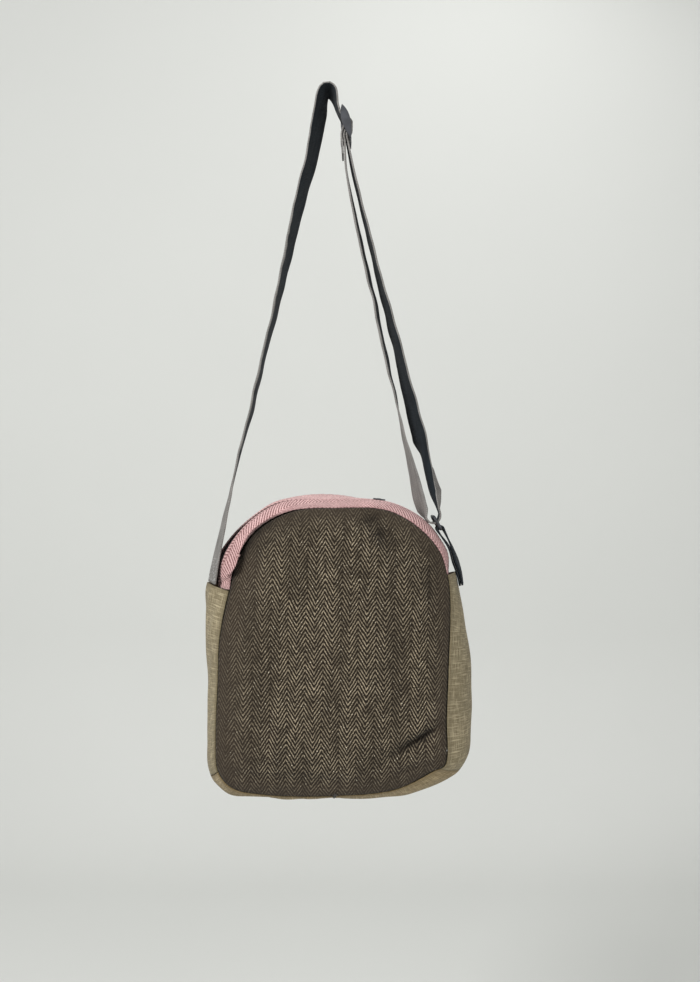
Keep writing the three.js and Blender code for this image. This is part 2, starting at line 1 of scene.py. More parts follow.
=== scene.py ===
import bpy
import math
import numpy as np
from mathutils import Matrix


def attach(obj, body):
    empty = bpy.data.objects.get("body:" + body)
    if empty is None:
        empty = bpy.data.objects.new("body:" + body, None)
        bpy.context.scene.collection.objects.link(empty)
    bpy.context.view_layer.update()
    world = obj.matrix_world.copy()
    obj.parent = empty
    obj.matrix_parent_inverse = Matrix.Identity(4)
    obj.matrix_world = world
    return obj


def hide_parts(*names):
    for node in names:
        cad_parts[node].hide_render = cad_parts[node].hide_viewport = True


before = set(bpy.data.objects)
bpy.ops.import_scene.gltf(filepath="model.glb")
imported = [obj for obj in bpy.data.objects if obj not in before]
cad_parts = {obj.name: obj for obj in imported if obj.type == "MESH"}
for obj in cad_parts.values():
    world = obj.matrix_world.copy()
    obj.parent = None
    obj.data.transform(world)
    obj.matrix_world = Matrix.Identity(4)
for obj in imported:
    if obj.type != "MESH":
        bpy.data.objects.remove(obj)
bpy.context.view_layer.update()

bpy.ops.object.select_all(action="DESELECT")
print("frame loaded")

# camera, stage and light
photoView = {"place": (0.0227, -1.028, -0.412), "turn": (math.pi / 2, 0, 0), "lens": 36.66, "sensor": 36.0}
stageSet = {
    "floorHeight": -1.3, "backDepth": 1.7, "halfWidth": 4.0, "top": 3.0,
    "bend": 0.5, "bendSteps": 10, "colour": (212, 213, 210), "roughness": 0.95, "sheen": 0.0,
    "mottle": 4, "mottleScale": 2.0,
}
lightSet = [
    {"name": "keyLight", "place": (-1.5, -1.9, 1.1), "aim": (0.0, 0.0, -0.5), "size": 1.2, "power": 88.0},
    {"name": "fillLight", "place": (1.6, -1.8, -0.1), "aim": (0.0, 0.0, -0.5), "size": 1.8, "power": 26.0},
    {"name": "backLight", "place": (0.6, 1.0, 1.5), "aim": (0.0, 0.0, -0.5), "size": 0.8, "power": 12.0},
]
skyStrength = 0.5

def paint(red, green, blue):  # screen colour to linear
    shares = [value / 255 for value in (red, green, blue)]
    linear = [share / 12.92 if share <= 0.04045 else ((share + 0.055) / 1.055) ** 2.4 for share in shares]
    return (*linear, 1.0)

def addCamera():
    bpy.ops.object.camera_add(location=photoView["place"], rotation=photoView["turn"])
    camera = bpy.context.object
    camera.name = "photoCamera"
    camera.data.sensor_width = photoView["sensor"]
    camera.data.lens = photoView["lens"]
    bpy.context.scene.camera = camera

def addLights():
    for light in lightSet:
        bpy.ops.object.light_add(type="AREA", location=light["place"])
        lamp = bpy.context.object
        lamp.name = light["name"]
        lamp.data.shape = "DISK"
        lamp.data.size = light["size"]
        lamp.data.energy = light["power"]
        toAim = np.array(light["aim"]) - np.array(light["place"])
        reach = math.hypot(toAim[0], toAim[1])
        lamp.rotation_euler = (math.atan2(reach, -toAim[2]), 0, math.atan2(-toAim[0], toAim[1]))
    sky = bpy.data.worlds.new("softSky")
    sky.use_nodes = True
    sky.node_tree.nodes["Background"].inputs["Color"].default_value = paint(*stageSet["colour"])
    sky.node_tree.nodes["Background"].inputs["Strength"].default_value = skyStrength
    bpy.context.scene.world = sky
    bpy.context.scene.view_settings.view_transform = "Standard"

addCamera()
addLights()
print("camera and lights set")

# small helpers
millimetre = 0.001  # in the scene's metres

def lerp(start, end, share):
    return start + (end - start) * share

def hump(distance, half):
    return np.exp(-((distance / half) ** 2))

def named(columns, rows):
    return {column: np.array([row[i] for row in rows], float) for i, column in enumerate(columns)}

def curveAt(points, place, closed):  # place counts points: 3.25 is a quarter past the fourth
    points = np.asarray(points, float)
    count = len(points)
    place = np.asarray(place, float)
    if closed:
        place = np.mod(place, count)
        first = np.floor(place).astype(int)
        p0, p1, p2, p3 = (points[(first + k) % count] for k in (-1, 0, 1, 2))
    else:
        first = np.clip(np.floor(place).astype(int), 0, count - 2)
        longer = np.vstack([2 * points[0] - points[1], points, 2 * points[-1] - points[-2]])
        p0, p1, p2, p3 = (longer[first + k] for k in (0, 1, 2, 3))
    share = (place - first)[..., None]
    gaps = [np.sqrt(np.linalg.norm(b - a, axis=-1, keepdims=True)) for a, b in ((p0, p1), (p1, p2), (p2, p3))]
    d0, d1, d2 = gaps
    pull1 = d1 * ((p1 - p0) / d0 - (p2 - p0) / (d0 + d1) + (p2 - p1) / d1)
    pull2 = d1 * ((p2 - p1) / d1 - (p3 - p1) / (d1 + d2) + (p3 - p2) / d2)
    square = 3 * (p2 - p1) - 2 * pull1 - pull2
    cube = 2 * (p1 - p2) + pull1 + pull2
    return p1 + pull1 * share + square * share ** 2 + cube * share ** 3

rippleMake = {"waves": 9, "shortest": 0.7, "longest": 1.6, "calm": 4.2}
def softNoise(a, b, wave, seed):  # smooth ripples, about -1 to 1
    dice = np.random.RandomState(seed)
    total = np.zeros_like(np.asarray(a, float))
    for _ in range(rippleMake["waves"]):
        angle = dice.uniform(0, 2 * math.pi)
        length = wave * dice.uniform(rippleMake["shortest"], rippleMake["longest"])
        start = dice.uniform(0, 2 * math.pi)
        total += np.sin((a * math.cos(angle) + b * math.sin(angle)) * 2 * math.pi / length + start)
    return total / rippleMake["calm"]

def unit(vectors):
    return vectors / np.maximum(np.linalg.norm(vectors, axis=-1, keepdims=True), 1e-9)

fineSteps = {  # how finely lengths are measured
    "outline": 2400, "strip": 400, "side": 60, "zip": 900, "webbing": 4000, "stitches": 500, "bar": 60,
}
def runAlong(points):  # length from the first point to each
    return np.concatenate([[0], np.cumsum(np.linalg.norm(np.diff(points, axis=0), axis=1))])

# the bag's body, in millimetres from the bag's lowest middle
body = {
    "bagCentre": np.array([11.2, -28.0, -720.0]), "panelCentreX": -4.0, "panelCentreHeight": 152.0,
    "frontFaceDepth": -47.0, "domePower": 5, "hollowPower": 8,
    "backSeamDepth": 36.0, "backFaceDepth": 42.5, "backScale": 0.93, "backFlatReach": 0.8,
    "leftHeelSeam": 3.0, "leftTopSeam": 7.0, "rightTopSeam": 15.0, "rightHeelSeam": 19.5,
}
# rows go round from the bottom's middle, up the left side, over the arch and down the right side
bodyRows = named(["frontX", "frontDepth", "frontHeight", "sideX", "sideHeight", "backLift"], [
    [-2.5, -32, 12, -2.5, 4, 0],
    [-70.5, -32, 13, -72.5, 4.5, 0],
    [-103.5, -32, 20, -111.5, 9, 0],
    [-116.5, -33, 36, -127.5, 25, 0],
    [-119, -33, 68, -130.5, 60, 0],
    [-117, -33, 118, -130.5, 116, 0],
    [-115, -32, 166, -132.5, 168, 0],
    [-106, -29, 211, -131, 217, 0],
    [-97, -25, 246, -119, 246, 0],
    [-77, -24, 272, -96.5, 274, 0],
    [-44.5, -27, 289, -60.5, 297, 11],
    [1.5, -29, 292.5, -8, 299.5, 15.5],
    [47.5, -30, 290, 51.5, 297, 5],
    [77.5, -31, 274, 87.5, 278, 0],
    [98.5, -31, 251, 106.5, 252, 0],
    [106.5, -32, 227, 116.5, 228, 0],
    [109, -32, 200, 123.5, 192, 0],
    [107, -33, 142, 131.5, 140, 0],
    [105, -33, 88, 132.5, 86, 0],
    [103.5, -32, 42, 128.5, 42, 0],
    [92, -31, 35.8, 113, 22.5, 0],
    [55.5, -31, 18, 61.5, 5, 0],
])
rowCount = len(bodyRows["frontX"])
# broad dents of the front panel, as in the solids
panelHollows = named(["x", "height", "halfLength", "halfWidth", "turn", "depth"], [
    [38, 272, 26, 10, -50, 7],
    [84, 236, 34, 15, 100, 6],
    [50, 150, 95, 13, 92, 4],
    [-78, 250, 26, 9, 55, 3],
    [78, 69, 27, 6, 32, 8],
    [-40, 30, 60, 6, -4, 3],
])
bandRolls = named(["row", "halfRows", "forward", "inward"], [
    [7.86, 0.56, 18, 10],
    [9.1, 0.8, 10, 3],
])
bandTucks = named(["row", "halfRows", "inward"], [[7, 0.45, 8], [15, 0.5, 7]])
zipLine = {
    "middle": 0.5, "halfGap": 0.022, "tapeHalf": 0.16, "seamTrim": 0.008, "tuckReach": 0.2,
    "shoulderGap": 0.11, "shoulderShift": 0.11, "shoulderRow": 8.2, "shoulderRows": 1.6,
}

frontSeam = np.stack([bodyRows["frontX"], bodyRows["frontDepth"], bodyRows["frontHeight"]], 1)
widestLine = np.stack([bodyRows["sideX"], np.zeros(rowCount), bodyRows["sideHeight"]], 1)
backSeam = np.stack([
    lerp(body["panelCentreX"], bodyRows["sideX"], body["backScale"]),
    np.full(rowCount, body["backSeamDepth"]),
    lerp(body["panelCentreHeight"], bodyRows["sideHeight"], body["backScale"]) + bodyRows["backLift"],
], 1)

def gussetPoint(row, across):
    front, side, back = (curveAt(line, row, True) for line in (frontSeam, widestLine, backSeam))
    control = 2 * side - (front + back) / 2
    share = np.asarray(across, float)[..., None]
    return (1 - share) ** 2 * front + 2 * share * (1 - share) * control + share ** 2 * back

def inwardAt(row):
    edge = curveAt(widestLine, row, True)
    inX = body["panelCentreX"] - edge[..., 0]
    inZ = body["panelCentreHeight"] - edge[..., 2]
    return unit(np.stack([inX, np.zeros_like(inX), inZ], -1))

def atShoulder(row):
    return hump(row - zipLine["shoulderRow"], zipLine["shoulderRows"])

def zipAcross(row):
    return zipLine["middle"] - zipLine["shoulderShift"] * atShoulder(row)

def zipGap(row):
    return zipLine["halfGap"] + zipLine["shoulderGap"] * atShoulder(row)

def archPoint(row, across):
    seamShare = np.minimum(1, np.minimum(across, 1 - across) / zipLine["tuckReach"])
    tuck = 0
    for i in range(len(bandTucks["row"])):
        tuck = tuck + bandTucks["inward"][i] * hump(row - bandTucks["row"][i], bandTucks["halfRows"][i])
    return gussetPoint(row, across) + inwardAt(row) * (seamShare * tuck)[..., None]

def frontBandPoint(row, share):
    point = archPoint(row, lerp(zipLine["seamTrim"], zipAcross(row) - zipGap(row), share))
    fullness = np.sin(math.pi * share)
    for i in range(len(bandRolls["row"])):
        size = fullness * hump(row - bandRolls["row"][i], bandRolls["halfRows"][i])
        point = point + inwardAt(row) * (bandRolls["inward"][i] * size)[..., None]
        point[..., 1] -= bandRolls["forward"][i] * size
    return point

def backBandPoint(row, share):
    return archPoint(row, lerp(zipAcross(row) + zipGap(row), 1 - zipLine["seamTrim"], share))

def tapePoint(row, share):
    return archPoint(row, zipAcross(row) + lerp(-zipLine["tapeHalf"], zipLine["tapeHalf"], share))

def hollowDepth(x, height, hollows):
    depth = np.zeros_like(x)
    for i in range(len(hollows["x"])):
        turn = math.radians(hollows["turn"][i])
        dx = x - hollows["x"][i]
        dz = height - hollows["height"][i]
        along = dx * math.cos(turn) + dz * math.sin(turn)
        beside = dz * math.cos(turn) - dx * math.sin(turn)
        oval = hump(along, hollows["halfLength"][i]) * hump(beside, hollows["halfWidth"][i])
        depth += hollows["depth"][i] * oval
    return depth

# sharper small folds, in the cloth alone
panelFolds = named(["x", "height", "halfLength", "halfWidth", "turn", "depth"], [
    [78, 69, 24, 2.6, 32, 3.5],
    [40, 266, 20, 4.4, -58, 1.7],
    [30, 280, 12, 3.4, 20, 1.3],
    [88, 215, 30, 6.0, 84, 1.3],
    [-62, 262, 22, 3.0, 38, 1.6],
    [70, 40, 16, 3.0, 20, 2.0],
])

def frontPanelPoint(row, reach, folded=1.0):
    edge = curveAt(frontSeam, row, True)
    x = lerp(body["panelCentreX"], edge[..., 0], reach)
    height = lerp(body["panelCentreHeight"], edge[..., 2], reach)
    depth = lerp(edge[..., 1], body["frontFaceDepth"], 1 - reach ** body["domePower"])
    pressed = hollowDepth(x, height, panelHollows) + hollowDepth(x, height, panelFolds)
    depth = depth + folded * (1 - reach ** body["hollowPower"]) * pressed
    return np.stack([x, depth, height], -1)

def backPanelPoint(row, reach):
    edge = curveAt(backSeam, row, True)
    roll = np.maximum(0, (reach - body["backFlatReach"]) / (1 - body["backFlatReach"])) ** 2
    return np.stack([
        lerp(body["panelCentreX"], edge[..., 0], reach),
        lerp(body["backFaceDepth"], edge[..., 1], roll),
        lerp(body["panelCentreHeight"], edge[..., 2], reach),
    ], -1)

# finishes
def socketIn(tree, socket, value):
    if isinstance(value, bpy.types.NodeSocket):
        tree.links.new(value, socket)
    else:
        socket.default_value = value

def sums(tree, operation, *values):
    node = tree.nodes.new("ShaderNodeMath")
    node.operation = operation
    for i, value in enumerate(values):
        socketIn(tree, node.inputs[i], value)
    return node.outputs[0]

def plus(tree, first, second):
    return sums(tree, "ADD", first, second)

def less(tree, first, second):
    return sums(tree, "SUBTRACT", first, second)

def times(tree, first, second):
    return sums(tree, "MULTIPLY", first, second)

def over(tree, first, second):
    return sums(tree, "DIVIDE", first, second)

def ramp(tree, value, low, high, toLow=0.0, toHigh=1.0):  # a smooth step from low to high
    node = tree.nodes.new("ShaderNodeMapRange")
    node.interpolation_type = "SMOOTHSTEP"
    given = {"Value": value, "From Min": low, "From Max": high, "To Min": toLow, "To Max": toHigh}
    for name in given:
        socketIn(tree, node.inputs[name], given[name])
    return node.outputs["Result"]

def noise(tree, vector, scale, detail=2.0):
    node = tree.nodes.new("ShaderNodeTexNoise")
    node.inputs["Scale"].default_value = scale
    node.inputs["Detail"].default_value = detail
    tree.links.new(vector, node.inputs["Vector"])
    return node.outputs["Fac"]

def stretched(tree, vector, scale):
    node = tree.nodes.new("ShaderNodeVectorMath")
    node.operation = "MULTIPLY"
    tree.links.new(vector, node.inputs[0])
    node.inputs[1].default_value = scale
    return node.outputs[0]

def clothNoise(tree, vector, stretch, detail=2.0):
    return noise(tree, stretched(tree, vector, stretch), 1.0, detail)

def patches(tree, vector, given):  # soft patches, as shares
    spread = clothNoise(tree, vector, given["stretch"], given["detail"])
    return ramp(tree, spread, *given["from"], *given["to"])

def wander(tree, vector, scale, amount):  # smooth noise about zero
    return times(tree, less(tree, clothNoise(tree, vector, (scale, scale, scale)), 0.5), amount)

def fromHalf(tree, value):  # how far a value's fraction is from a half
    return sums(tree, "ABSOLUTE", less(tree, sums(tree, "FRACT", value), 0.5))

def splitCoords(tree, vector):
    node = tree.nodes.new("ShaderNodeSeparateXYZ")
    tree.links.new(vector, node.inputs[0])
    return node.outputs[0], node.outputs[1]

def mixed(tree, share, first, second):
    node = tree.nodes.new("ShaderNodeMix")
    node.data_type = "RGBA"
    socketIn(tree, node.inputs[0], share)
    socketIn(tree, node.inputs[6], first)  # the colour sockets
    socketIn(tree, node.inputs[7], second)
    return node.outputs[2]

def layered(tree, colour, layers):  # each layer's share and screen colour, over those before it
    for share, screen in layers:
        colour = mixed(tree, share, colour, paint(*screen))
    return colour

def shifted(colour, steps):
    return [value + step for value, step in zip(colour, steps)]

def newGroup(name, inputs, outputs):
    tree = bpy.data.node_groups.new(name, "ShaderNodeTree")
    tree.interface.new_socket("Cloth", in_out="INPUT", socket_type="NodeSocketVector")
    for label in inputs:
        tree.interface.new_socket(label, in_out="INPUT", socket_type="NodeSocketFloat")
    for label in outputs:
        tree.interface.new_socket(label, in_out="OUTPUT", socket_type="NodeSocketFloat")
    start = tree.nodes.new("NodeGroupInput")
    end = tree.nodes.new("NodeGroupOutput")
    return tree, start, end

chevronSet = {
    "driftScale": 0.02, "drift": 5.0, "jitterScale": 0.25, "jitter": 1.2,
    "yarn": (0.8, 0.6, 0.7), "yarnDetail": 3.0, "yarnHeight": 0.6, "broken": 1.6, "soft": 0.18,
    "spineWidth": 0.05, "spineShare": 0.55,
}
def makeHerringbone():  # chevron strokes: columns side by side, each stroke a slanted float of yarn
    given = chevronSet
    inputs = ["Period", "Pitch", "Slope", "Stroke"]
    tree, start, end = newGroup("herringboneWeave", inputs, ["Mask", "Height"])
    cloth, period, pitch, slope, stroke = (start.outputs[i] for i in range(5))
    x, y = splitCoords(tree, cloth)
    drift = wander(tree, cloth, given["driftScale"], given["drift"])
    jitter = wander(tree, cloth, given["jitterScale"], given["jitter"])
    column = over(tree, plus(tree, x, drift), period)
    zigzag = fromHalf(tree, plus(tree, column, 0.5))
    rise = times(tree, times(tree, zigzag, period), slope)
    phase = over(tree, plus(tree, plus(tree, y, rise), jitter), pitch)
    wave = times(tree, fromHalf(tree, phase), 2.0)
    yarn = clothNoise(tree, cloth, given["yarn"], given["yarnDetail"])
    broken = plus(tree, wave, times(tree, less(tree, yarn, 0.5), given["broken"]))
    mask = ramp(tree, broken, less(tree, stroke, given["soft"]), plus(tree, stroke, given["soft"]))
    spine = ramp(tree, zigzag, 0.0, given["spineWidth"], given["spineShare"], 1.0)
    tree.links.new(times(tree, mask, spine), end.inputs["Mask"])
    tree.links.new(plus(tree, wave, times(tree, yarn, given["yarnHeight"])), end.inputs["Height"])
    return tree

plainSet = {
    "warp": (1.3, 0.08, 0.5), "weft": (0.07, 0.75, 0.5), "checker": 0.35, "slub": (0.5, 0.78),
    "tone": (0.018, 0.018, 0.018), "toneDetail": 3.0,
}
def makePlainWeave():  # crossing threads with slubs
    tree, start, end = newGroup("plainWeave", ["Thread"], ["Height", "Slub", "Tone"])
    cloth, thread = start.outputs[0], start.outputs[1]
    turns = [times(tree, over(tree, place, thread), math.pi) for place in splitCoords(tree, cloth)]
    checker = times(tree, *[sums(tree, "SINE", turn) for turn in turns])
    warp = clothNoise(tree, cloth, plainSet["warp"])
    weft = clothNoise(tree, cloth, plainSet["weft"])
    slub = ramp(tree, sums(tree, "MAXIMUM", warp, weft), *plainSet["slub"])
    height = plus(tree, times(tree, checker, plainSet["checker"]), plus(tree, warp, weft))
    tone = clothNoise(tree, cloth, plainSet["tone"], plainSet["toneDetail"])
    tree.links.new(height, end.inputs["Height"])
    tree.links.new(slub, end.inputs["Slub"])
    tree.links.new(tone, end.inputs["Tone"])
    return tree

ribSet = {
    "zigzag": 6.0, "slant": 3.0, "tone": 0.16,
    "fuzz": (0.6, 0.6, 0.6), "clouds": (0.06, 0.2, 0.2), "detail": 3.0,
}
def makeWebbingRib():  # close ribs across the webbing, each a small zigzag
    tree, start, end = newGroup("webbingRib", ["Rib"], ["Height", "Tone"])
    cloth, spacing = start.outputs[0], start.outputs[1]
    x, y = splitCoords(tree, cloth)
    zigzag = fromHalf(tree, over(tree, y, ribSet["zigzag"]))
    slant = plus(tree, x, times(tree, zigzag, ribSet["slant"]))
    rib = sums(tree, "SINE", times(tree, over(tree, slant, spacing), 2 * math.pi))
    fuzz = clothNoise(tree, cloth, ribSet["fuzz"], ribSet["detail"])
    clouds = clothNoise(tree, cloth, ribSet["clouds"], ribSet["detail"])
    tree.links.new(plus(tree, rib, fuzz), end.inputs["Height"])
    tree.links.new(plus(tree, times(tree, rib, ribSet["tone"]), clouds), end.inputs["Tone"])
    return tree

herringboneWeave = makeHerringbone()
plainWeave = makePlainWeave()
webbingRib = makeWebbingRib()

clothShine = {"sheenRoughness": 0.6, "specular": 0.15}
def newFinish(name, given):
    material = bpy.data.materials.new(name)
    material.use_nodes = True
    tree = material.node_tree
    shader = tree.nodes["Principled BSDF"]
    shader.inputs["Roughness"].default_value = given["roughness"]
    shader.inputs["Sheen Weight"].default_value = given["sheen"]
    shader.inputs["Sheen Roughness"].default_value = clothShine["sheenRoughness"]
    shader.inputs["Specular IOR Level"].default_value = clothShine["specular"]
    return material, tree, shader

def clothCoords(tree):  # cloth map in millimetres
    node = tree.nodes.new("ShaderNodeUVMap")
    node.uv_map = "clothMap"
    return stretched(tree, node.outputs[0], (1000.0, 1000.0, 1000.0))

def objectCoords(tree):
    return tree.nodes.new("ShaderNodeTexCoord").outputs["Object"]

def weave(tree, group, vector, values):
    node = tree.nodes.new("ShaderNodeGroup")
    node.node_tree = group
    tree.links.new(vector, node.inputs["Cloth"])
    for label, value in values.items():
        node.inputs[label].default_value = value
    return node.outputs

def layerMask(tree, layer, most=1.0):  # a piece's own layer: the edge layer is one at worn edges and at edges and seams darkened as painted shade, the shade layer one where painted shade falls in folds
    node = tree.nodes.new("ShaderNodeAttribute")
    node.attribute_name = layer
    return times(tree, node.outputs["Fac"], most)

def coloured(tree, shader, colour, height, bump):  # bump is a strength and a depth in metres
    node = tree.nodes.new("ShaderNodeBump")
    node.inputs["Strength"].default_value = bump[0]
    node.inputs["Distance"].default_value = bump[1]
    tree.links.new(height, node.inputs["Height"])
    tree.links.new(node.outputs[0], shader.inputs["Normal"])
    tree.links.new(colour, shader.inputs["Base Color"])

# edge colour: wear with painted shade on the rolled edges; fold colour: painted shade in folds and creases
brownFinish = {
    "ground": (30, 23, 15), "stroke": (153, 140, 118), "fleck": (216, 206, 184),
    "edge": (54, 46, 37), "fold": (24, 19, 14), "roughness": 0.95, "sheen": 0.04, "bump": (0.6, 0.0007),
    "weave": {"Period": 16.8, "Pitch": 5.1, "Slope": 1.68, "Stroke": 0.69},
    "tone": {"stretch": (0.03, 0.03, 0.03), "detail": 3.0, "from": (0.3, 0.7), "to": (0.75, 1.0)},
    "faded": {"stretch": (0.16, 0.1, 0.16), "detail": 3.0, "from": (0.3, 0.68), "to": (0.4, 1.0)},
    "bands": {"stretch": (0.045, 0.006, 0.05), "detail": 2.0, "from": (0.36, 0.58), "to": (0.62, 1.04)},
    "flecks": {"stretch": (0.75, 0.5, 0.7), "detail": 2.0, "from": (0.62, 0.72), "to": (0.0, 1.0)},
    "fleckOnStroke": (0.1, 0.6), "fleckShare": 0.85, "wearAndShade": 0.78,
}
def makeBrown():
    material, tree, shader = newFinish("brownHerringbone", brownFinish)
    cloth = clothCoords(tree)
    out = weave(tree, herringboneWeave, cloth, brownFinish["weave"])
    tone, faded, bands, flecks = (
        patches(tree, cloth, brownFinish[name]) for name in ("tone", "faded", "bands", "flecks")
    )
    strokes = times(tree, times(tree, out["Mask"], tone), times(tree, faded, bands))
    onStroke = ramp(tree, out["Mask"], *brownFinish["fleckOnStroke"])
    colour = layered(tree, paint(*brownFinish["ground"]), [
        (strokes, brownFinish["stroke"]),
        (times(tree, times(tree, flecks, brownFinish["fleckShare"]), onStroke), brownFinish["fleck"]),
        # worn edges, darkened further as painted shade where the panel rolls away
        (layerMask(tree, "wearAndShade", brownFinish["wearAndShade"]), brownFinish["edge"]),
        # painted shade in folds, hollows and under the pink roll
        (layerMask(tree, "shade"), brownFinish["fold"]),
    ])
    coloured(tree, shader, colour, out["Height"], brownFinish["bump"])
    return material

# the seam colour is painted shade along the seams
tanFinish = {
    "shade": (100, 90, 68), "base": (160, 148, 120), "light": (196, 184, 154), "seam": (92, 82, 61),
    "roughness": 0.93, "sheen": 0.08, "bump": (0.5, 0.0005), "weave": {"Thread": 0.7},
    "clouds": (0.3, 0.7, 0.45, 1.0), "threads": (0.65, 1.45), "slub": 0.42, "wearAndShade": 0.6,
}
def makeTan(name, warmth):
    material, tree, shader = newFinish(name, tanFinish)
    out = weave(tree, plainWeave, clothCoords(tree), tanFinish["weave"])
    shade, base, light, seam = (
        shifted(tanFinish[tint], (warmth, 0, -warmth)) for tint in ("shade", "base", "light", "seam")
    )
    cloudy = layered(tree, paint(*shade), [(ramp(tree, out["Tone"], *tanFinish["clouds"]), base)])
    threads = mixed(tree, ramp(tree, out["Height"], *tanFinish["threads"]), paint(*shade), cloudy)
    colour = layered(tree, threads, [
        (times(tree, out["Slub"], tanFinish["slub"]), light),
        # painted shade towards the seams
        (layerMask(tree, "wearAndShade", tanFinish["wearAndShade"]), seam),
    ])
    coloured(tree, shader, colour, out["Height"], tanFinish["bump"])
    return material

pinkFinish = {
    "ground": (116, 80, 79), "rib": (220, 181, 179), "dust": (184, 149, 147), "fold": (48, 34, 34),
    "roughness": 0.92, "sheen": 0.08, "bump": (0.7, 0.0007),
    "weave": {"Period": 40.0, "Pitch": 3.6, "Slope": 0.75, "Stroke": 0.42},
    "tone": {"stretch": (0.04, 0.04, 0.04), "detail": 3.0, "from": (0.2, 0.8), "to": (0.6, 1.0)},
    "spineFrom": 90.0, "spineTo": 165.0, "spineShift": 14.0, "wearAndShade": 0.4,
}
def makePink(name, lift):
    material, tree, shader = newFinish(name, pinkFinish)
    plain = clothCoords(tree)
    along = splitCoords(tree, plain)[1]
    shift = ramp(tree, along, pinkFinish["spineFrom"], pinkFinish["spineTo"], pinkFinish["spineShift"], 0.0)
    lean = tree.nodes.new("ShaderNodeCombineXYZ")  # the chevron's spine runs off the band at its left end
    tree.links.new(shift, lean.inputs[0])
    moved = tree.nodes.new("ShaderNodeVectorMath")
    tree.links.new(plain, moved.inputs[0])
    tree.links.new(lean.outputs[0], moved.inputs[1])
    cloth = moved.outputs[0]
    out = weave(tree, herringboneWeave, cloth, pinkFinish["weave"])
    # lift lightens every colour: the painted highlight on the back band
    ground, rib, dust = (shifted(pinkFinish[tint], (lift, lift, lift)) for tint in ("ground", "rib", "dust"))
    colour = layered(tree, paint(*ground), [
        (times(tree, out["Mask"], patches(tree, cloth, pinkFinish["tone"])), rib),
        (layerMask(tree, "wearAndShade", pinkFinish["wearAndShade"]), dust),
        # painted shade at the crease by the panel
        (layerMask(tree, "shade"), pinkFinish["fold"]),
    ])
    coloured(tree, shader, colour, out["Height"], pinkFinish["bump"])
    return material

webbingFinish = {
    "outside": (134, 131, 128), "outsideShade": (98, 96, 93),
    "inside": (30, 36, 41), "insideShade": (15, 19, 23),
    "border": (122, 120, 116), "roughness": 0.9, "sheen": 0.04, "bump": (0.5, 0.0004), "weave": {"Rib": 1.7},
    "tone": (0.2, 0.75), "plainMiddle": 702.0, "plainHalf": 300.0, "plainFade": 330.0,
    "turned": {"stretch": (0.04, 0.0, 0.0), "detail": 2.0, "from": (0.42, 0.62), "to": (0.4, 3.6)},
}
def makeWebbing(name, shade, light, border=None):
    material, tree, shader = newFinish(name, webbingFinish)
    cloth = clothCoords(tree)
    out = weave(tree, webbingRib, cloth, webbingFinish["weave"])
    layers = [(ramp(tree, out["Tone"], *webbingFinish["tone"]), webbingFinish[light])]
    if border:  # the grey face turned over the front edge here and there
        along, across = splitCoords(tree, cloth)
        fromPlain = sums(tree, "ABSOLUTE", less(tree, along, webbingFinish["plainMiddle"]))
        shown = ramp(tree, fromPlain, webbingFinish["plainHalf"], webbingFinish["plainFade"])
        width = times(tree, patches(tree, cloth, webbingFinish["turned"]), shown)
        layers.append((sums(tree, "LESS_THAN", across, width), webbingFinish[border]))
    colour = layered(tree, paint(*webbingFinish[shade]), layers)
    coloured(tree, shader, colour, out["Height"], webbingFinish["bump"])
    return material

zipFinish = {
    "tape": (14, 14, 16), "tapeLight": (30, 30, 33), "roughness": 0.85, "sheen": 0.15, "bump": (0.4, 0.0003),
    "weave": {"Rib": 1.0}, "tone": (0.2, 0.8),
}
def makeZipTape():
    material, tree, shader = newFinish("blackZipTape", zipFinish)
    out = weave(tree, webbingRib, clothCoords(tree), zipFinish["weave"])
    tone = ramp(tree, out["Tone"], *zipFinish["tone"])
    colour = layered(tree, paint(*zipFinish["tape"]), [(tone, zipFinish["tapeLight"])])
    coloured(tree, shader, colour, out["Height"], zipFinish["bump"])
    return material

coilFinish = {"shade": (14, 14, 16), "light": (28, 28, 31), "metallic": 0.0, "grain": 600.0}
metalFinish = {"shade": (42, 44, 47), "light": (62, 64, 69), "metallic": 0.3, "grain": 700.0}
hardFinish = {
    "roughness": 0.5, "sheen": 0.0, "specular": 0.5, "bump": (0.15, 0.0002), "fineDetail": 4.0,
    "rough": (0.2, 0.8, 0.4, 0.64), "broad": 90.0, "tone": (0.3, 0.7),
}
def makeHard(name, given):
    material, tree, shader = newFinish(name, hardFinish)
    shader.inputs["Metallic"].default_value = given["metallic"]
    shader.inputs["Specular IOR Level"].default_value = hardFinish["specular"]
    fine = noise(tree, objectCoords(tree), given["grain"], hardFinish["fineDetail"])
    tone = ramp(tree, noise(tree, objectCoords(tree), hardFinish["broad"]), *hardFinish["tone"])
    tree.links.new(ramp(tree, fine, *hardFinish["rough"]), shader.inputs["Roughness"])
    colour = layered(tree, paint(*given["shade"]), [(tone, given["light"])])
    coloured(tree, shader, colour, fine, hardFinish["bump"])
    return material

threadFinish = {"roughness": 0.8, "sheen": 0.2, "bump": (0.4, 0.0002), "twist": 900.0, "tone": (0.3, 0.7)}
def makeThread(name, shade, light):
    material, tree, shader = newFinish(name, threadFinish)
    twist = noise(tree, objectCoords(tree), threadFinish["twist"])
    colour = layered(tree, paint(*shade), [(ramp(tree, twist, *threadFinish["tone"]), light)])
    coloured(tree, shader, colour, twist, threadFinish["bump"])
    return material

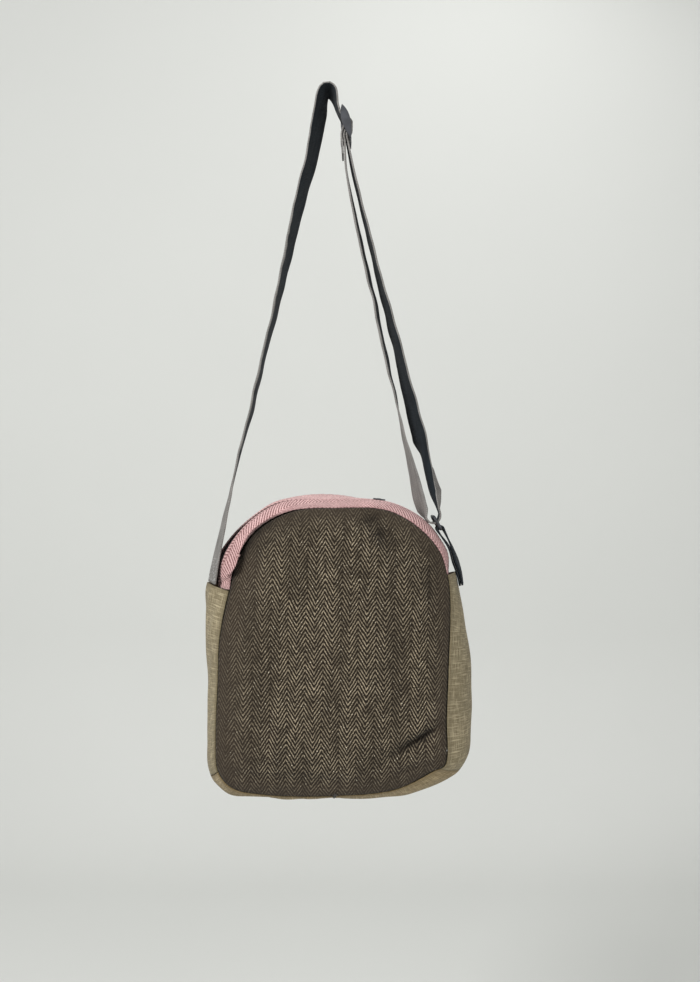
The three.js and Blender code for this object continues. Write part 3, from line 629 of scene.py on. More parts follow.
finishes = {
    "brown": makeBrown(),
    "tan": makeTan("tanHemp", 0),
    "tanWarm": makeTan("tanHempWarm", 5),
    "pink": makePink("pinkHerringbone", 0),
    # a lighter copy of the pink for the back band: painted highlight where it turns over the top
    "pinkPaintedHighlight": makePink("pinkHerringbonePaintedHighlight", 16),
    "greyWebbing": makeWebbing("greyWebbing", "outsideShade", "outside"),
    "darkWebbing": makeWebbing("darkWebbing", "insideShade", "inside", "border"),
    "darkTab": makeWebbing("darkTab", "insideShade", "inside"),
    "zipTape": makeZipTape(),
    "zipCoil": makeHard("blackZipCoil", coilFinish),
    "darkMetal": makeHard("darkMetal", metalFinish),
    "pinkThread": makeThread("pinkThread", (188, 148, 146), (226, 192, 189)),
    "greyThread": makeThread("greyThread", (150, 150, 148), (196, 196, 194)),
    "darkThread": makeThread("darkThread", (30, 27, 24), (58, 53, 48)),
}
print("finishes made")

# cloth pieces
def asPiece(piece, node):
    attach(piece, "root")
    if node:
        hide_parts(node)

def noShade(u, v):
    return np.zeros_like(u)

def clothGrid(name, uCells, vCells, shape, cloth, wearAndShade, finish, thickness, shade=noShade):
    bpy.ops.object.select_all(action="DESELECT")
    bpy.ops.mesh.primitive_grid_add(x_subdivisions=uCells, y_subdivisions=vCells, size=2, location=(0, 0, 0))
    piece = bpy.context.object
    piece.name = name
    mesh = piece.data
    mesh.name = name
    corners = np.zeros(len(mesh.vertices) * 3)
    mesh.vertices.foreach_get("co", corners)
    u, v = corners.reshape(-1, 3)[:, 0], corners.reshape(-1, 3)[:, 1]
    places = shape(u, v)
    mesh.vertices.foreach_set("co", (places * millimetre).ravel())
    mapAt = cloth(u, v, places) * millimetre
    loops = np.zeros(len(mesh.loops), int)
    mesh.loops.foreach_get("vertex_index", loops)
    while mesh.uv_layers:
        mesh.uv_layers.remove(mesh.uv_layers[0])
    layer = mesh.uv_layers.new(name="clothMap")
    layer.data.foreach_set("uv", mapAt[loops].ravel())
    wearAndShadeLayer = mesh.attributes.new("wearAndShade", "FLOAT", "POINT")
    wearAndShadeLayer.data.foreach_set("value", np.asarray(wearAndShade(u, v), float))
    shadeLayer = mesh.attributes.new("shade", "FLOAT", "POINT")
    shadeLayer.data.foreach_set("value", np.asarray(shade(u, v), float))
    mesh.materials.append(finish)
    mesh.update()
    bpy.ops.object.shade_smooth()
    thick = piece.modifiers.new("clothThickness", "SOLIDIFY")
    thick.thickness = thickness * millimetre
    thick.offset = -1.0
    return piece

def applyAll(piece):
    bpy.context.view_layer.objects.active = piece
    for modifier in list(piece.modifiers):
        bpy.ops.object.modifier_apply(modifier=modifier.name)

def pushedOut(places, shapeAt, u, v, amount):  # moves cloth along its own normal
    step = 0.004
    alongU = shapeAt(u + step, v) - shapeAt(u - step, v)
    alongV = shapeAt(u, v + step) - shapeAt(u, v - step)
    return places + unit(np.cross(alongU, alongV)) * amount[:, None]

panelCut = {
    "cells": 150, "trim": 0.992, "thickness": 1.6, "flat": (0.25, 0.31), "area": 0.060,
    "ripple": 0.9, "rippleWave": 46.0, "rippleUp": 0.7, "rippleSeed": 4, "ripplePower": 6,
    "pucker": 0.55, "puckerWave": 11.0, "puckerReach": 0.07, "puckerStart": 0.012,
    "uneven": 2, "unevenWave": 60, "unevenSeed": 9, "rowLength": 48.0, "mapSquash": 0.85, "mapSteps": 16,
}
edgeRows = np.linspace(0, rowCount, fineSteps["outline"])
def rowByAngle(seam, x, z):  # the outline's row in that direction from the panel's middle
    edge = curveAt(seam, edgeRows, True)
    around = np.unwrap(np.arctan2(edge[:, 2] - body["panelCentreHeight"], edge[:, 0] - body["panelCentreX"]))
    angle = np.arctan2(z, x)
    low = min(around[0], around[-1])
    angle = np.mod(angle - low, 2 * math.pi) + low
    order = np.argsort(around)
    return np.interp(angle, around[order], edgeRows[order])

def panelRowReach(seam, u, v):
    reach = np.maximum(np.abs(u), np.abs(v))
    return rowByAngle(seam, u * panelCut["mapSquash"], v), reach

def frontPanelShape(u, v):
    cut = panelCut
    row, reach = panelRowReach(frontSeam, u, v)
    reach = reach * cut["trim"]
    point = frontPanelPoint(row, reach)
    up = point[:, 2] * cut["rippleUp"]
    ripple = cut["ripple"] * softNoise(point[:, 0], up, cut["rippleWave"], cut["rippleSeed"])
    seamLength = row * cut["rowLength"]
    uneven = cut["uneven"] * softNoise(seamLength, seamLength * 0, cut["unevenWave"], cut["unevenSeed"])
    pucker = cut["pucker"] * np.sin(seamLength * 2 * math.pi / cut["puckerWave"] + uneven)
    nearSeam = hump(1 - reach, cut["puckerReach"]) * (1 - hump(1 - reach, cut["puckerStart"]))
    point[:, 1] -= ripple * (1 - reach ** cut["ripplePower"]) + pucker * nearSeam
    return point + body["bagCentre"]

patternStart = {"x": -35.4, "z": -515.9, "lean": 0.0227}
def frontPanelCloth(u, v, places):
    row, reach = panelRowReach(frontSeam, u, v)
    reach = reach * panelCut["trim"]
    middle = np.array([body["panelCentreX"], 0, body["panelCentreHeight"]])
    length = np.zeros_like(reach)
    before = frontPanelPoint(row, reach * 0, 0.0)
    for i in range(1, panelCut["mapSteps"] + 1):
        here = frontPanelPoint(row, reach * i / panelCut["mapSteps"], 0.0)
        length += np.linalg.norm(here - before, axis=1)
        before = here
    fromMiddle = before - middle
    planar = np.hypot(fromMiddle[:, 0], fromMiddle[:, 2])
    stretch = np.where(planar > 1, length / np.maximum(planar, 1), 1.0)
    x = middle[0] + fromMiddle[:, 0] * stretch + body["bagCentre"][0]
    z = middle[2] + fromMiddle[:, 2] * stretch + body["bagCentre"][2]
    up = z - patternStart["z"]
    return np.stack([x - patternStart["x"] - patternStart["lean"] * up, up], 1)

# worn edges, wide on the left, where painted shade also darkens the edge that rolls away from the light
panelEdge = {"left": 0.26, "right": 0.11, "ends": 0.11}
def panelWearAndShade(u, v):
    sides = np.maximum(hump(1 + u, panelEdge["left"]), hump(1 - u, panelEdge["right"]))
    return np.maximum(sides, hump(1 - np.abs(v), panelEdge["ends"]))

# painted shade: darker in the small folds and the broad hollows, and a painted shadow along the upper left
# seam under the pink roll
foldShade = {
    "folds": 0.2, "hollows": 0.045, "most": 0.85, "mottle": 0.35, "mottleWave": 14, "mottleSeed": 6,
    "crease": 1.0, "creaseWidth": 0.045, "creaseX": -92, "creaseHeight": 254, "creaseHalf": 40,
}
def panelShade(u, v):
    given = foldShade
    row, reach = panelRowReach(frontSeam, u, v)
    point = frontPanelPoint(row, reach * panelCut["trim"])
    x, height = point[:, 0], point[:, 2]
    dark = given["folds"] * hollowDepth(x, height, panelFolds)
    dark = dark + given["hollows"] * hollowDepth(x, height, panelHollows)
    fromCrease = np.hypot(x - given["creaseX"], height - given["creaseHeight"])
    crease = hump(1 - reach, given["creaseWidth"]) * hump(fromCrease, given["creaseHalf"])
    dark = dark + given["crease"] * crease
    mottle = given["mottle"] * softNoise(x, height, given["mottleWave"], given["mottleSeed"])
    return np.clip(dark * (1 + mottle), 0, given["most"])

frontPanel = clothGrid(
    "frontPanel", panelCut["cells"], panelCut["cells"], frontPanelShape, frontPanelCloth, panelWearAndShade,
    finishes["brown"], panelCut["thickness"], panelShade,
)
applyAll(frontPanel)
asPiece(frontPanel, "front_panel")

backCut = {
    "cells": 96, "thickness": 1.6, "flat": (0.26, 0.31), "area": 0.063,
    "ripple": 0.5, "rippleWave": 60, "seed": 14,
}
def backPanelShape(u, v):
    row, reach = panelRowReach(backSeam, -u, v)
    reach = reach * panelCut["trim"]
    point = backPanelPoint(row, reach)
    ripple = softNoise(point[:, 0], point[:, 2], backCut["rippleWave"], backCut["seed"]) - 1
    point[:, 1] += backCut["ripple"] * ripple * (1 - reach ** panelCut["ripplePower"])
    return point + body["bagCentre"]

def flatCloth(u, v, places):
    return places[:, [0, 2]]

# painted shade along the back panel's seams
def backSeamShade(u, v):
    return hump(1 - np.maximum(np.abs(u), np.abs(v)), panelEdge["ends"])

backPanel = clothGrid(
    "backPanel", backCut["cells"], backCut["cells"], backPanelShape, flatCloth, backSeamShade,
    finishes["tan"], backCut["thickness"],
)
applyAll(backPanel)
asPiece(backPanel, "back_panel")
print("panels made")

def lengthsAlong(pointAt, rows, shares):  # cloth lengths in millimetres along and across a strip
    fineRows = np.linspace(rows[0], rows[1], fineSteps["strip"])
    run = runAlong(pointAt(fineRows, np.full(fineSteps["strip"], 0.5)))
    middleRow = np.full(fineSteps["side"], (rows[0] + rows[1]) / 2)
    side = pointAt(middleRow, np.linspace(shares[0], shares[1], fineSteps["side"]))
    return fineRows, run, runAlong(side)[-1]

# edges of a strip: wear on the pink bands, painted shade along the seams of the tan gussets
stripWearAndShade = {"sides": 0.08, "ends": 0.03}
def strip(
    name, pointAt, rows, shares, cells, ripple, finish, thickness, sink=0.0, turned=False, shade=noShade,
):
    fineRows, run, width = lengthsAlong(pointAt, rows, shares)
    def rowAt(u):
        return lerp(rows[0], rows[1], (u + 1) / 2)
    def place(u, v):
        return pointAt(rowAt(u), lerp(shares[0], shares[1], (v + 1) / 2))
    def lengths(u, v):
        return np.interp(rowAt(u), fineRows, run), (v + 1) / 2 * width
    def shape(u, v):
        return pushedOut(place(u, v), place, u, v, ripple(u, v, *lengths(u, v)) - sink) + body["bagCentre"]
    def cloth(u, v, places):
        along, across = lengths(u, v)
        return np.stack([across, along] if turned else [along, across], 1)
    def wearAndShade(u, v):
        return np.maximum(hump(1 - np.abs(v), stripWearAndShade["sides"]), hump(1 - np.abs(u), stripWearAndShade["ends"]))
    return clothGrid(name, cells[0], cells[1], shape, cloth, wearAndShade, finish, thickness, shade)

gussetCut = {
    "trim": 0.008, "endTrim": 0.012, "thickness": 1.6, "sidePower": 6, "endPower": 12,
    "wrinkle": 0.8, "wrinkleWave": 26, "wrinkleSlants": ((0.6, 0.8), (-0.25, 0.6)),
    "pucker": 0.5, "puckerWave": 9.0, "puckerReach": 0.22,
}
def gussetRipple(seed):
    cut = gussetCut
    def ripple(u, v, along, across):
        inside = (1 - np.abs(v) ** cut["sidePower"]) * (1 - np.abs(u) ** cut["endPower"])
        slanted = [along * slant[0] + across * slant[1] for slant in cut["wrinkleSlants"]]
        wrinkle = cut["wrinkle"] * softNoise(*slanted, cut["wrinkleWave"], seed)
        pucker = cut["pucker"] * np.sin(along * 2 * math.pi / cut["puckerWave"] + seed)
        return (wrinkle + pucker * hump(1 - np.abs(v), cut["puckerReach"])) * inside
    return ripple

gussets = [
    {
        "name": "leftGusset", "node": "side_gusset_left",
        "rows": (body["leftHeelSeam"], body["leftTopSeam"]),
        "cells": (96, 48), "finish": "tan", "flat": (0.072, 0.197), "seed": 21,
    },
    {
        "name": "rightGusset", "node": "side_gusset_right",
        "rows": (body["rightTopSeam"], body["rightHeelSeam"]),
        "cells": (96, 48), "finish": "tan", "flat": (0.075, 0.200), "seed": 22,
    },
    {
        "name": "bottomGusset", "node": "bottom_gusset",
        "rows": (body["rightHeelSeam"] - rowCount, body["leftHeelSeam"]),
        "cells": (120, 44), "finish": "tanWarm", "flat": (0.070, 0.252), "seed": 23,
    },
]
for gusset in gussets:
    rows = (gusset["rows"][0] + gussetCut["endTrim"], gusset["rows"][1] - gussetCut["endTrim"])
    shares = (gussetCut["trim"], 1 - gussetCut["trim"])
    piece = strip(
        gusset["name"], gussetPoint, rows, shares, gusset["cells"], gussetRipple(gusset["seed"]),
        finishes[gusset["finish"]], gussetCut["thickness"], turned=True,
    )
    applyAll(piece)
    asPiece(piece, gusset["node"])
print("gussets made")

bandCut = {
    "thickness": 1.5, "endTrim": 0.035, "sidePower": 4, "endPower": 14,
    "wrinkle": 0.6, "wrinkleWave": 30, "wrinkleAcross": 0.4,
    "pucker": 0.14, "puckerWave": 8.0, "puckerReach": 0.35, "uneven": 1.5, "unevenWave": 50,
    "crease": 2.2, "creaseAt": 0.93, "creaseSlant": 0.05, "creaseHalf": 0.022,
    "shadeReach": 0.3, "shadeAt": 0.6, "shadeHalf": 0.32,
}
def bandRipple(seed, zipSide):
    cut = bandCut
    def ripple(u, v, along, across):
        middle = 1 - v ** cut["sidePower"]
        soft = softNoise(along, across * cut["wrinkleAcross"], cut["wrinkleWave"], seed)
        wrinkle = cut["wrinkle"] * soft * middle
        uneven = cut["uneven"] * softNoise(along, across * 0, cut["unevenWave"], seed + 1)
        pucker = cut["pucker"] * np.sin(along * 2 * math.pi / cut["puckerWave"] + uneven)
        rippled = wrinkle + pucker * hump(1 + zipSide * v, cut["puckerReach"])
        fromCrease = u + cut["creaseAt"] + cut["creaseSlant"] * v
        crease = cut["crease"] * hump(fromCrease, cut["creaseHalf"]) * middle
        return rippled * (1 - np.abs(u) ** cut["endPower"]) - crease * (zipSide > 0)
    return ripple

def bandShade(strength):  # painted shade at the crease where the soft left end meets the panel
    cut = bandCut
    return lambda u, v: strength * hump(1 + v, cut["shadeReach"]) * hump(u + cut["shadeAt"], cut["shadeHalf"])

archRows = (body["leftTopSeam"] + bandCut["endTrim"], body["rightTopSeam"] - bandCut["endTrim"])
bands = [
    {
        "name": "frontBand", "node": "top_band_front", "at": frontBandPoint,
        "cells": (220, 36), "flat": (0.025, 0.360),
        # crease: strength of the painted shade where the soft left end meets the panel
        "seed": 31, "zipSide": 1, "finish": "pink", "crease": 0.8,
    },
    {
        "name": "backBand", "node": "top_band_back", "at": backBandPoint,
        "cells": (180, 28), "flat": (0.030, 0.360),
        "seed": 33, "zipSide": -1, "finish": "pinkPaintedHighlight", "crease": 0.0,
    },
]
for band in bands:
    ripple = bandRipple(band["seed"], band["zipSide"])
    piece = strip(
        band["name"], band["at"], archRows, (0.0, 1.0), band["cells"], ripple, finishes[band["finish"]],
        bandCut["thickness"], turned=True, shade=bandShade(band["crease"]),
    )
    applyAll(piece)
    asPiece(piece, band["node"])
print("bands made")

tapeCut = {"cells": (160, 8), "thickness": 0.9, "sink": 3.6, "flat": (0.018, 0.355)}
def noRipple(u, v, along, across):
    return np.zeros_like(along)

zipTape = strip(
    "zipTape", tapePoint, archRows, (0.0, 1.0), tapeCut["cells"], noRipple, finishes["zipTape"],
    tapeCut["thickness"], sink=tapeCut["sink"],
)
applyAll(zipTape)
asPiece(zipTape, "zip_tape")

# zip coil: one tooth, copied along both sides
def copiesOf(name, cell, places, firsts, seconds, thirds, finish):  # each copy in its own axes
    cellPoints, cellFaces = cell
    count = len(cellPoints)
    axes = np.stack([firsts, seconds, thirds], 1)
    points = np.einsum("ck,nkj->ncj", cellPoints, axes) + places[:, None, :]
    faces = [[corner + i * count for corner in face] for i in range(len(places)) for face in cellFaces]
    mesh = bpy.data.meshes.new(name)
    mesh.from_pydata((points.reshape(-1, 3) * millimetre).tolist(), [], faces)
    mesh.materials.append(finish)
    piece = bpy.data.objects.new(name, mesh)
    bpy.context.collection.objects.link(piece)
    bpy.ops.object.select_all(action="DESELECT")
    piece.select_set(True)
    bpy.context.view_layer.objects.active = piece
    bpy.ops.object.shade_smooth()
    return piece

def roundCell(size, segments, rings):  # a small rounded grain, made once
    bpy.ops.object.select_all(action="DESELECT")
    bpy.ops.mesh.primitive_uv_sphere_add(segments=segments, ring_count=rings, radius=0.5)
    grain = bpy.context.object
    points = np.array([vertex.co[:] for vertex in grain.data.vertices]) * np.array(size)
    faces = [list(face.vertices) for face in grain.data.polygons]
    bpy.data.objects.remove(grain, do_unlink=True)
    return points, faces

def zipAxes(row):
    small = 0.02
    across = zipAcross(row)
    middle = archPoint(row, across)
    along = unit(archPoint(row + small, across) - archPoint(row - small, across))
    side = archPoint(row, across + small) - archPoint(row, across - small)
    side = unit(side - along * np.sum(side * along, axis=-1, keepdims=True))
    return middle, along, side, np.cross(along, side)

zipCoil = {"pitch": 1.5, "tooth": (1.0, 2.6, 1.1), "faces": (6, 4), "shift": 0.7, "sink": 2.7, "ends": 0.1}
def makeZipCoil():
    left = body["leftTopSeam"] + zipCoil["ends"]
    right = body["rightTopSeam"] - zipCoil["ends"]
    fine = np.linspace(left, right, fineSteps["zip"])
    run = runAlong(zipAxes(fine)[0])
    rows = np.interp(np.arange(0, run[-1], zipCoil["pitch"] / 2), run, fine)
    middle, along, side, out = zipAxes(rows)
    turn = np.where(np.arange(len(rows)) % 2, 1.0, -1.0)[:, None]
    places = middle + side * turn * zipCoil["shift"] - out * zipCoil["sink"] + body["bagCentre"]
    tooth = roundCell(zipCoil["tooth"], *zipCoil["faces"])
    return copiesOf("zipCoil", tooth, places, along, side, out, finishes["zipCoil"])

coil = makeZipCoil()
asPiece(coil, "zip_chain")
print("zip made")

# strap and tab: webbing along stations, in millimetres
leftLeg = [  # x, y, z, twist and curl
    [-114, -37, -503, 22, 0], [-112.6, -37, -494, 22, 0], [-107.8, -35, -468, 18, 0],
    [-97.8, -32, -421, 12, 0], [-86.8, -28, -373, 2, 0], [-74.9, -24, -325, -2, 0],
    [-63.9, -20, -276, -3, 0], [-52.6, -17, -227, -7, 0], [-42.3, -13, -178, -12, 0],
    [-31.3, -9, -128, -17, 0], [-19.9, -6, -84, -22, 0], [-12, -3, -46, -27, 0],
    [-7.8, -1, -22, -28, 0], [-5.8, 0, -9, -24, 0], [-3.4, 0, -2, -21, 0],
    [0, 0, 0, -20, 0], [4.6, 0, -2.6, -18, 0], [7.6, 0, -9, -10, 0], [9.8, -1, -18, -4, 0],
]
outerRun = [
    [25.5, -6, -84, -2, 0], [36, -8, -127, -2, 0], [48.1, -11, -177, -5, 0], [60.2, -14, -226, -9, 0],
    [72.4, -18, -276, -15, 0], [83.8, -21, -324, -23, 0], [92.6, -23, -361, -30, 0], [97.8, -25, -391, 8, 8],
    [103.4, -27, -414, 22, 9], [109.8, -28, -429, 6, 2],
]
innerRun = [
    [95.2, -28, -431, 20, 0], [91.6, -27, -419, 24, 0], [85.4, -25, -391, 14, 0], [78.2, -23, -361, 4, 0],
    [69.8, -21, -324, -5, 0], [59.1, -18, -276, -9, 0], [49, -14, -226, -10, 0], [37.6, -11, -177, -10, 0],
    [27, -8, -127, -8, 0], [19, -6, -84, -3, 0],
]
sliderSet = {
    "centre": (19.2, -3, -39), "lean": math.radians(15),
    "wrapRadius": 3.1, "wrapTurns": [100, 60, 20, -20, -60, -95],
}
sliderRoute = [
    [-14.5, -3.2], [-11.5, -3.2], [-6.8, 0.2], [-3.8, 3.9], [0, 5.6],
    [3.8, 3.9], [6.8, 0.2], [11.5, -3.2], [15.5, -3.4],
]
barWrapRoute = [[25, -8.2], [15.5, -6.2], [11, -5.8], [6.6, -3.2], [3.6, 0]]
sewnTailRoute = [[3.8, -4.4], [6.8, -6.7], [11, -8.4], [15.5, -8.9], [25, -10.8], [29, -11.6]]
ringSet = {
    "topBar": (105.5, -28, -437.5), "lean": math.radians(30), "barSpacing": 14.0,
    "wrapRadius": 3.0, "wrapTurns": [5, 50, 95, 140, 185],
}
ringTurnRoute = [[6.6, 0], [3.6, -5.4], [-2.6, -6.2], [-7.4, -1.4]]
tabOuter = [
    [135.2, -28, -505, -7, 0], [133.2, -28, -494, -9, 0],
    [129.2, -28, -481, -11, 0], [124, -28, -467, -6, 0],
]
tabInner = [
    [121.2, -28, -467.6, 6, 0], [126.4, -28, -481.6, 11, 0],
    [130.5, -28, -494.4, 9, 0], [132.8, -28, -505.5, 7, 0],
]

def sliderStation(down, out):
    cx, cy, cz = sliderSet["centre"]
    lean = sliderSet["lean"]
    x = cx + down * math.sin(lean) + out * math.cos(lean)
    z = cz - down * math.cos(lean) + out * math.sin(lean)
    return [x, cy, z, 0, 0]

def ringStation(right, up):
    return [ringSet["topBar"][0] + right, ringSet["topBar"][1], ringSet["topBar"][2] + up, 0, 0]

def barWrapStation(turn):
    angle = math.radians(turn)
    radius = sliderSet["wrapRadius"]
    return sliderStation(-radius * math.cos(angle), radius * math.sin(angle))

def tabWrapStation(turn):
    angle = math.radians(turn)
    lowX = ringSet["topBar"][0] + ringSet["barSpacing"] * math.sin(ringSet["lean"])
    lowZ = ringSet["topBar"][2] - ringSet["barSpacing"] * math.cos(ringSet["lean"])
    x = lowX + ringSet["wrapRadius"] * math.cos(angle)
    z = lowZ + ringSet["wrapRadius"] * math.sin(angle)
    return [x, ringSet["topBar"][1], z, 0, 0]

strapStations = np.array(
    leftLeg
    + [sliderStation(*step) for step in sliderRoute]
    + outerRun
    + [ringStation(*step) for step in ringTurnRoute]
    + innerRun
    + [sliderStation(*step) for step in barWrapRoute]
    + [barWrapStation(turn) for turn in sliderSet["wrapTurns"]]
    + [sliderStation(*step) for step in sewnTailRoute],
    float,
)
tabWrap = [tabWrapStation(turn) for turn in ringSet["wrapTurns"]]
tabStations = np.array(tabOuter + tabWrap + tabInner, float)

webbingCut = {
    "width": 25.0, "thickness": 1.8, "wearAndShade": 0.1,
    "strapCells": (520, 10), "tabCells": (90, 10), "turnStep": 0.01,
    "wave": 0.9, "waveLength": 38, "waveAcross": 3, "waveSeed": 41,
    "uneven": 0.5, "unevenLength": 26, "unevenAcross": 9, "unevenSeed": 43,
}
def webbingFrame(stations, place):
    path = stations[:, :3]
    middle = curveAt(path, place, False)
    ends = len(path) - 1
    ahead = curveAt(path, np.minimum(place + webbingCut["turnStep"], ends), False)
    behind = curveAt(path, np.maximum(place - webbingCut["turnStep"], 0), False)
    along = unit(ahead - behind)
    first = np.clip(np.floor(place).astype(int), 0, ends - 1)
    share = place - first
    twist = np.radians(lerp(stations[first, 3], stations[first + 1, 3], share))[:, None]
    curl = lerp(stations[first, 4], stations[first + 1, 4], share)
    front = unit(np.array([0.0, -1.0, 0.0]) + along * along[:, 1:2])
    front = front * np.cos(twist) + np.cross(along, front) * np.sin(twist)
    return middle, along, front, np.cross(along, front), curl

def webbingRun(stations):  # fine places along the stations and the length up to each
    places = np.linspace(0, len(stations) - 1, fineSteps["webbing"])
    return places, runAlong(curveAt(stations[:, :3], places, False))

fittingPlaces = {"slider": 590.0, "ring": 985.0, "tail": 60.0, "fade": 60.0, "still": 0.6}
def clearOfFittings(length, total):  # one along the free strap, none at the slider, ring and ends
    near = [0.0, fittingPlaces["slider"], fittingPlaces["ring"], total - fittingPlaces["tail"], total]
    nearest = np.min([np.abs(length - place) for place in near], axis=0)
    return np.clip(nearest / fittingPlaces["fade"] - fittingPlaces["still"], 0, 1)

def webbingPiece(name, stations, cells, inside, darkRim):
    cut = webbingCut
    finePlaces, run = webbingRun(stations)
    def shape(u, v):
        length = (u + 1) / 2 * run[-1]
        middle, along, front, toDark, curl = webbingFrame(stations, np.interp(length, run, finePlaces))
        side = -v
        wave = softNoise(length, side * cut["waveAcross"], cut["waveLength"], cut["waveSeed"])
        uneven = softNoise(length, side * cut["unevenAcross"], cut["unevenLength"], cut["unevenSeed"]) - 1
        half = np.sqrt((cut["width"] / 2) ** 2 - curl ** 2) + cut["uneven"] * uneven
        free = cut["wave"] * clearOfFittings(length, run[-1]) * (name == "strapWebbing")
        lift = (wave * free - curl) * side ** 2
        return middle + front * (side * half)[:, None] + toDark * lift[:, None]
    def cloth(u, v, places):
        return np.stack([(u + 1) / 2 * run[-1], (v + 1) / 2 * cut["width"]], 1)
    def wearAndShade(u, v):
        return hump(1 - np.abs(v), cut["wearAndShade"])
    piece = clothGrid(name, cells[0], cells[1], shape, cloth, wearAndShade, finishes["greyWebbing"], cut["thickness"])
    piece.data.materials.append(finishes[inside])
    thick = piece.modifiers["clothThickness"]
    thick.offset = 0.0
    thick.material_offset = 1
    thick.material_offset_rim = 1 if darkRim else 0
    applyAll(piece)
    return piece, run[-1]

strap, strapLength = webbingPiece(
    "strapWebbing", strapStations, webbingCut["strapCells"], "darkWebbing", False,
)
asPiece(strap, "strap")
tab, tabLength = webbingPiece("tabWebbing", tabStations, webbingCut["tabCells"], "darkTab", True)
asPiece(tab, "ring_tab")
print("strap made, length", round(strapLength), "mm")

# stitches and the thread knot under the front panel
stitchSet = {
    "length": 2.7, "thick": 0.55, "faces": (6, 5), "pitch": 4.0, "sunk": 0.05,
    "bandShare": 0.87, "bandRows": (7.5, 14.7), "tailBacks": (3, 9), "tailSides": (-0.85, 0.85),
}
sewnBox = [  # lengths from the sewn end, and sides, of each row
    ((3, 3), (-0.8, 0.8)), ((24, 24), (-0.8, 0.8)), ((3, 24), (-0.8, -0.8)),
    ((3, 24), (0.8, 0.8)), ((3, 24), (-0.8, 0.8)), ((3, 24), (0.8, -0.8)),
]
def stitchRow(name, places, outs, finish):
    run = runAlong(places)
    stops = np.arange(stitchSet["pitch"] / 2, run[-1], stitchSet["pitch"])
    pick = lambda rows: np.stack([np.interp(stops, run, rows[:, k]) for k in range(3)], 1)
    middle, out = pick(places), unit(pick(outs))
    along = unit(pick(np.gradient(places, axis=0)))
    along = unit(along - out * np.sum(along * out, axis=1, keepdims=True))
    cell = roundCell((stitchSet["length"], stitchSet["thick"], stitchSet["thick"]), *stitchSet["faces"])
    row = copiesOf(name, cell, middle - out * stitchSet["sunk"], along, np.cross(out, along), out, finish)
    asPiece(row, None)

def bandStitches():
    rows = np.linspace(*stitchSet["bandRows"], fineSteps["stitches"])
    share = np.full_like(rows, stitchSet["bandShare"])
    u = (rows - archRows[0]) / (archRows[1] - archRows[0]) * 2 - 1
    v = share * 2 - 1
    fineRows, run, width = lengthsAlong(frontBandPoint, archRows, (0.0, 1.0))
    ripple = bandRipple(bands[0]["seed"], bands[0]["zipSide"])
    lift = ripple(u, v, np.interp(rows, fineRows, run), share * width)
    def place(uu, vv):
        return frontBandPoint(lerp(archRows[0], archRows[1], (uu + 1) / 2), (vv + 1) / 2)
    base = place(u, v)
    top = pushedOut(base, place, u, v, lift)
    outs = pushedOut(base, place, u, v, lift + 1) - top
    stitchRow("bandStitches", top + body["bagCentre"], outs, finishes["pinkThread"])

def webbingStitches(name, stations, lengths, sides, towardDark, finish):
    finePlaces, run = webbingRun(stations)
    lengthAt = np.linspace(*lengths, fineSteps["bar"])
    if lengths[0] < 0:  # counted back from the far end
        lengthAt = lengthAt + run[-1]
    side = np.linspace(*sides, fineSteps["bar"])
    middle, along, front, toDark, curl = webbingFrame(stations, np.interp(lengthAt, run, finePlaces))
    out = toDark * towardDark
    places = middle + front * (side * webbingCut["width"] / 2)[:, None] + out * (webbingCut["thickness"] / 2)
    stitchRow(name, places, out, finish)

bandStitches()
for i, (lengths, sides) in enumerate(sewnBox):
    webbingStitches("sewnEndStitches%d" % i, strapStations, lengths, sides, -1, finishes["greyThread"])
for i, back in enumerate(stitchSet["tailBacks"]):
    sides = stitchSet["tailSides"]
    webbingStitches("tailStitches%d" % i, strapStations, (-back, -back), sides, -1, finishes["greyThread"])
    webbingStitches("tabStitches%d" % i, tabStations, (back, back), sides, 1, finishes["darkThread"])

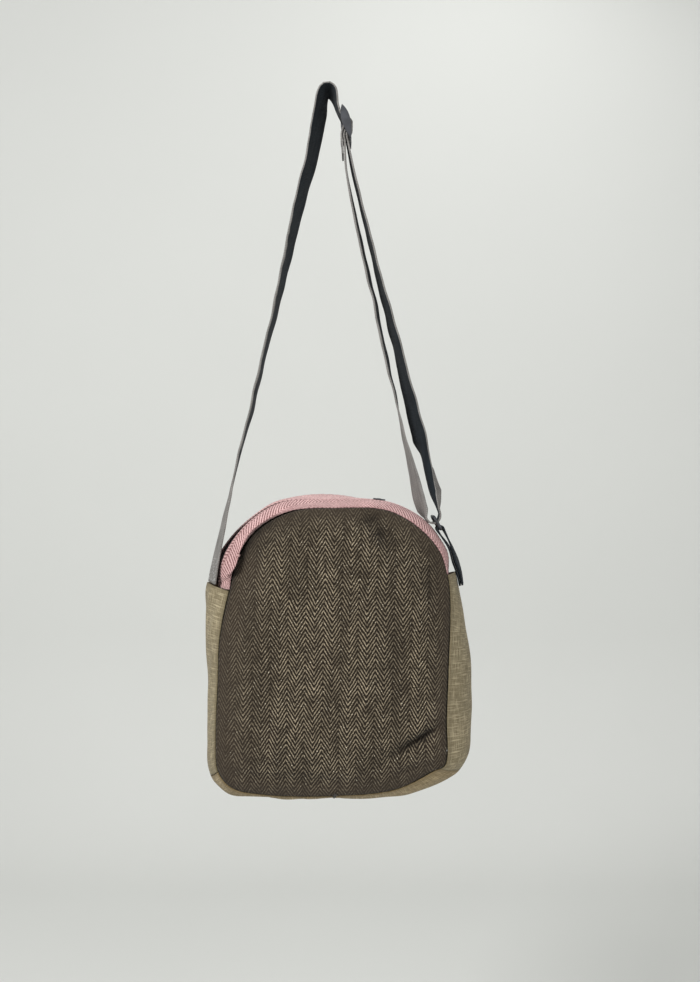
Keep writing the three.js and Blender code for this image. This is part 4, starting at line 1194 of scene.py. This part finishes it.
knotSet = {
    "place": (8.0, -63.0, -706.5), "grain": (4.2, 1.3, 1.3), "faces": (8, 6),
    "grains": 9, "spread": 1.1, "seed": 5,
}
def threadKnot():
    dice = np.random.RandomState(knotSet["seed"])
    count = knotSet["grains"]
    first = unit(dice.normal(size=(count, 3)))
    second = unit(np.cross(first, dice.normal(size=(count, 3))))
    places = np.array(knotSet["place"]) + dice.uniform(-1, 1, (count, 3)) * knotSet["spread"]
    grain = roundCell(knotSet["grain"], *knotSet["faces"])
    third = np.cross(first, second)
    knot = copiesOf("threadKnot", grain, places, first, second, third, finishes["darkThread"])
    asPiece(knot, None)

threadKnot()
print("stitches made")

# fittings keep their solids, with softened edges
fittingEdges = {"segments": 2, "widths": {"strap_slider": 0.0005, "strap_ring": 0.0002, "zip_slider": 0.0005}}
for node, width in fittingEdges["widths"].items():
    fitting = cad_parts[node]
    soft = fitting.modifiers.new("softEdges", "BEVEL")
    soft.width = width
    soft.segments = fittingEdges["segments"]
    soft.limit_method = "ANGLE"
    fitting.data.materials.clear()
    fitting.data.materials.append(finishes["darkMetal"])
print("fittings finished")

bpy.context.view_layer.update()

def addStage():
    stage = stageSet
    bpy.ops.object.select_all(action="DESELECT")
    bpy.ops.mesh.primitive_plane_add(size=2, location=(0, 0, 0))
    floor = bpy.context.object
    floor.name = "paleFloor"
    for vertex in floor.data.vertices:
        depth = stage["backDepth"] if vertex.co.y > 0 else -stage["halfWidth"]
        vertex.co = (vertex.co.x * stage["halfWidth"], depth, stage["floorHeight"])
    bpy.ops.object.mode_set(mode="EDIT")
    bpy.ops.mesh.select_all(action="DESELECT")
    bpy.ops.object.mode_set(mode="OBJECT")
    for edge in floor.data.edges:
        edge.select = all(floor.data.vertices[i].co.y > 0 for i in edge.vertices)
    bpy.ops.object.mode_set(mode="EDIT")
    bpy.ops.mesh.select_mode(type="EDGE")
    bpy.ops.mesh.extrude_region_move(TRANSFORM_OT_translate={"value": (0, 0, stage["top"])})
    bpy.ops.object.mode_set(mode="OBJECT")
    bend = floor.modifiers.new("softCorner", "BEVEL")
    bend.width = stage["bend"]
    bend.segments = stage["bendSteps"]
    bpy.context.view_layer.objects.active = floor
    bpy.ops.object.modifier_apply(modifier="softCorner")
    bpy.ops.object.shade_smooth()
    material, tree, shader = newFinish("paleStage", stage)
    fine = noise(tree, objectCoords(tree), stage["mottleScale"])
    shade = [value - stage["mottle"] for value in stage["colour"]]
    tree.links.new(layered(tree, paint(*shade), [(fine, stage["colour"])]), shader.inputs["Base Color"])
    floor.data.materials.append(material)

addStage()
print("stage made")
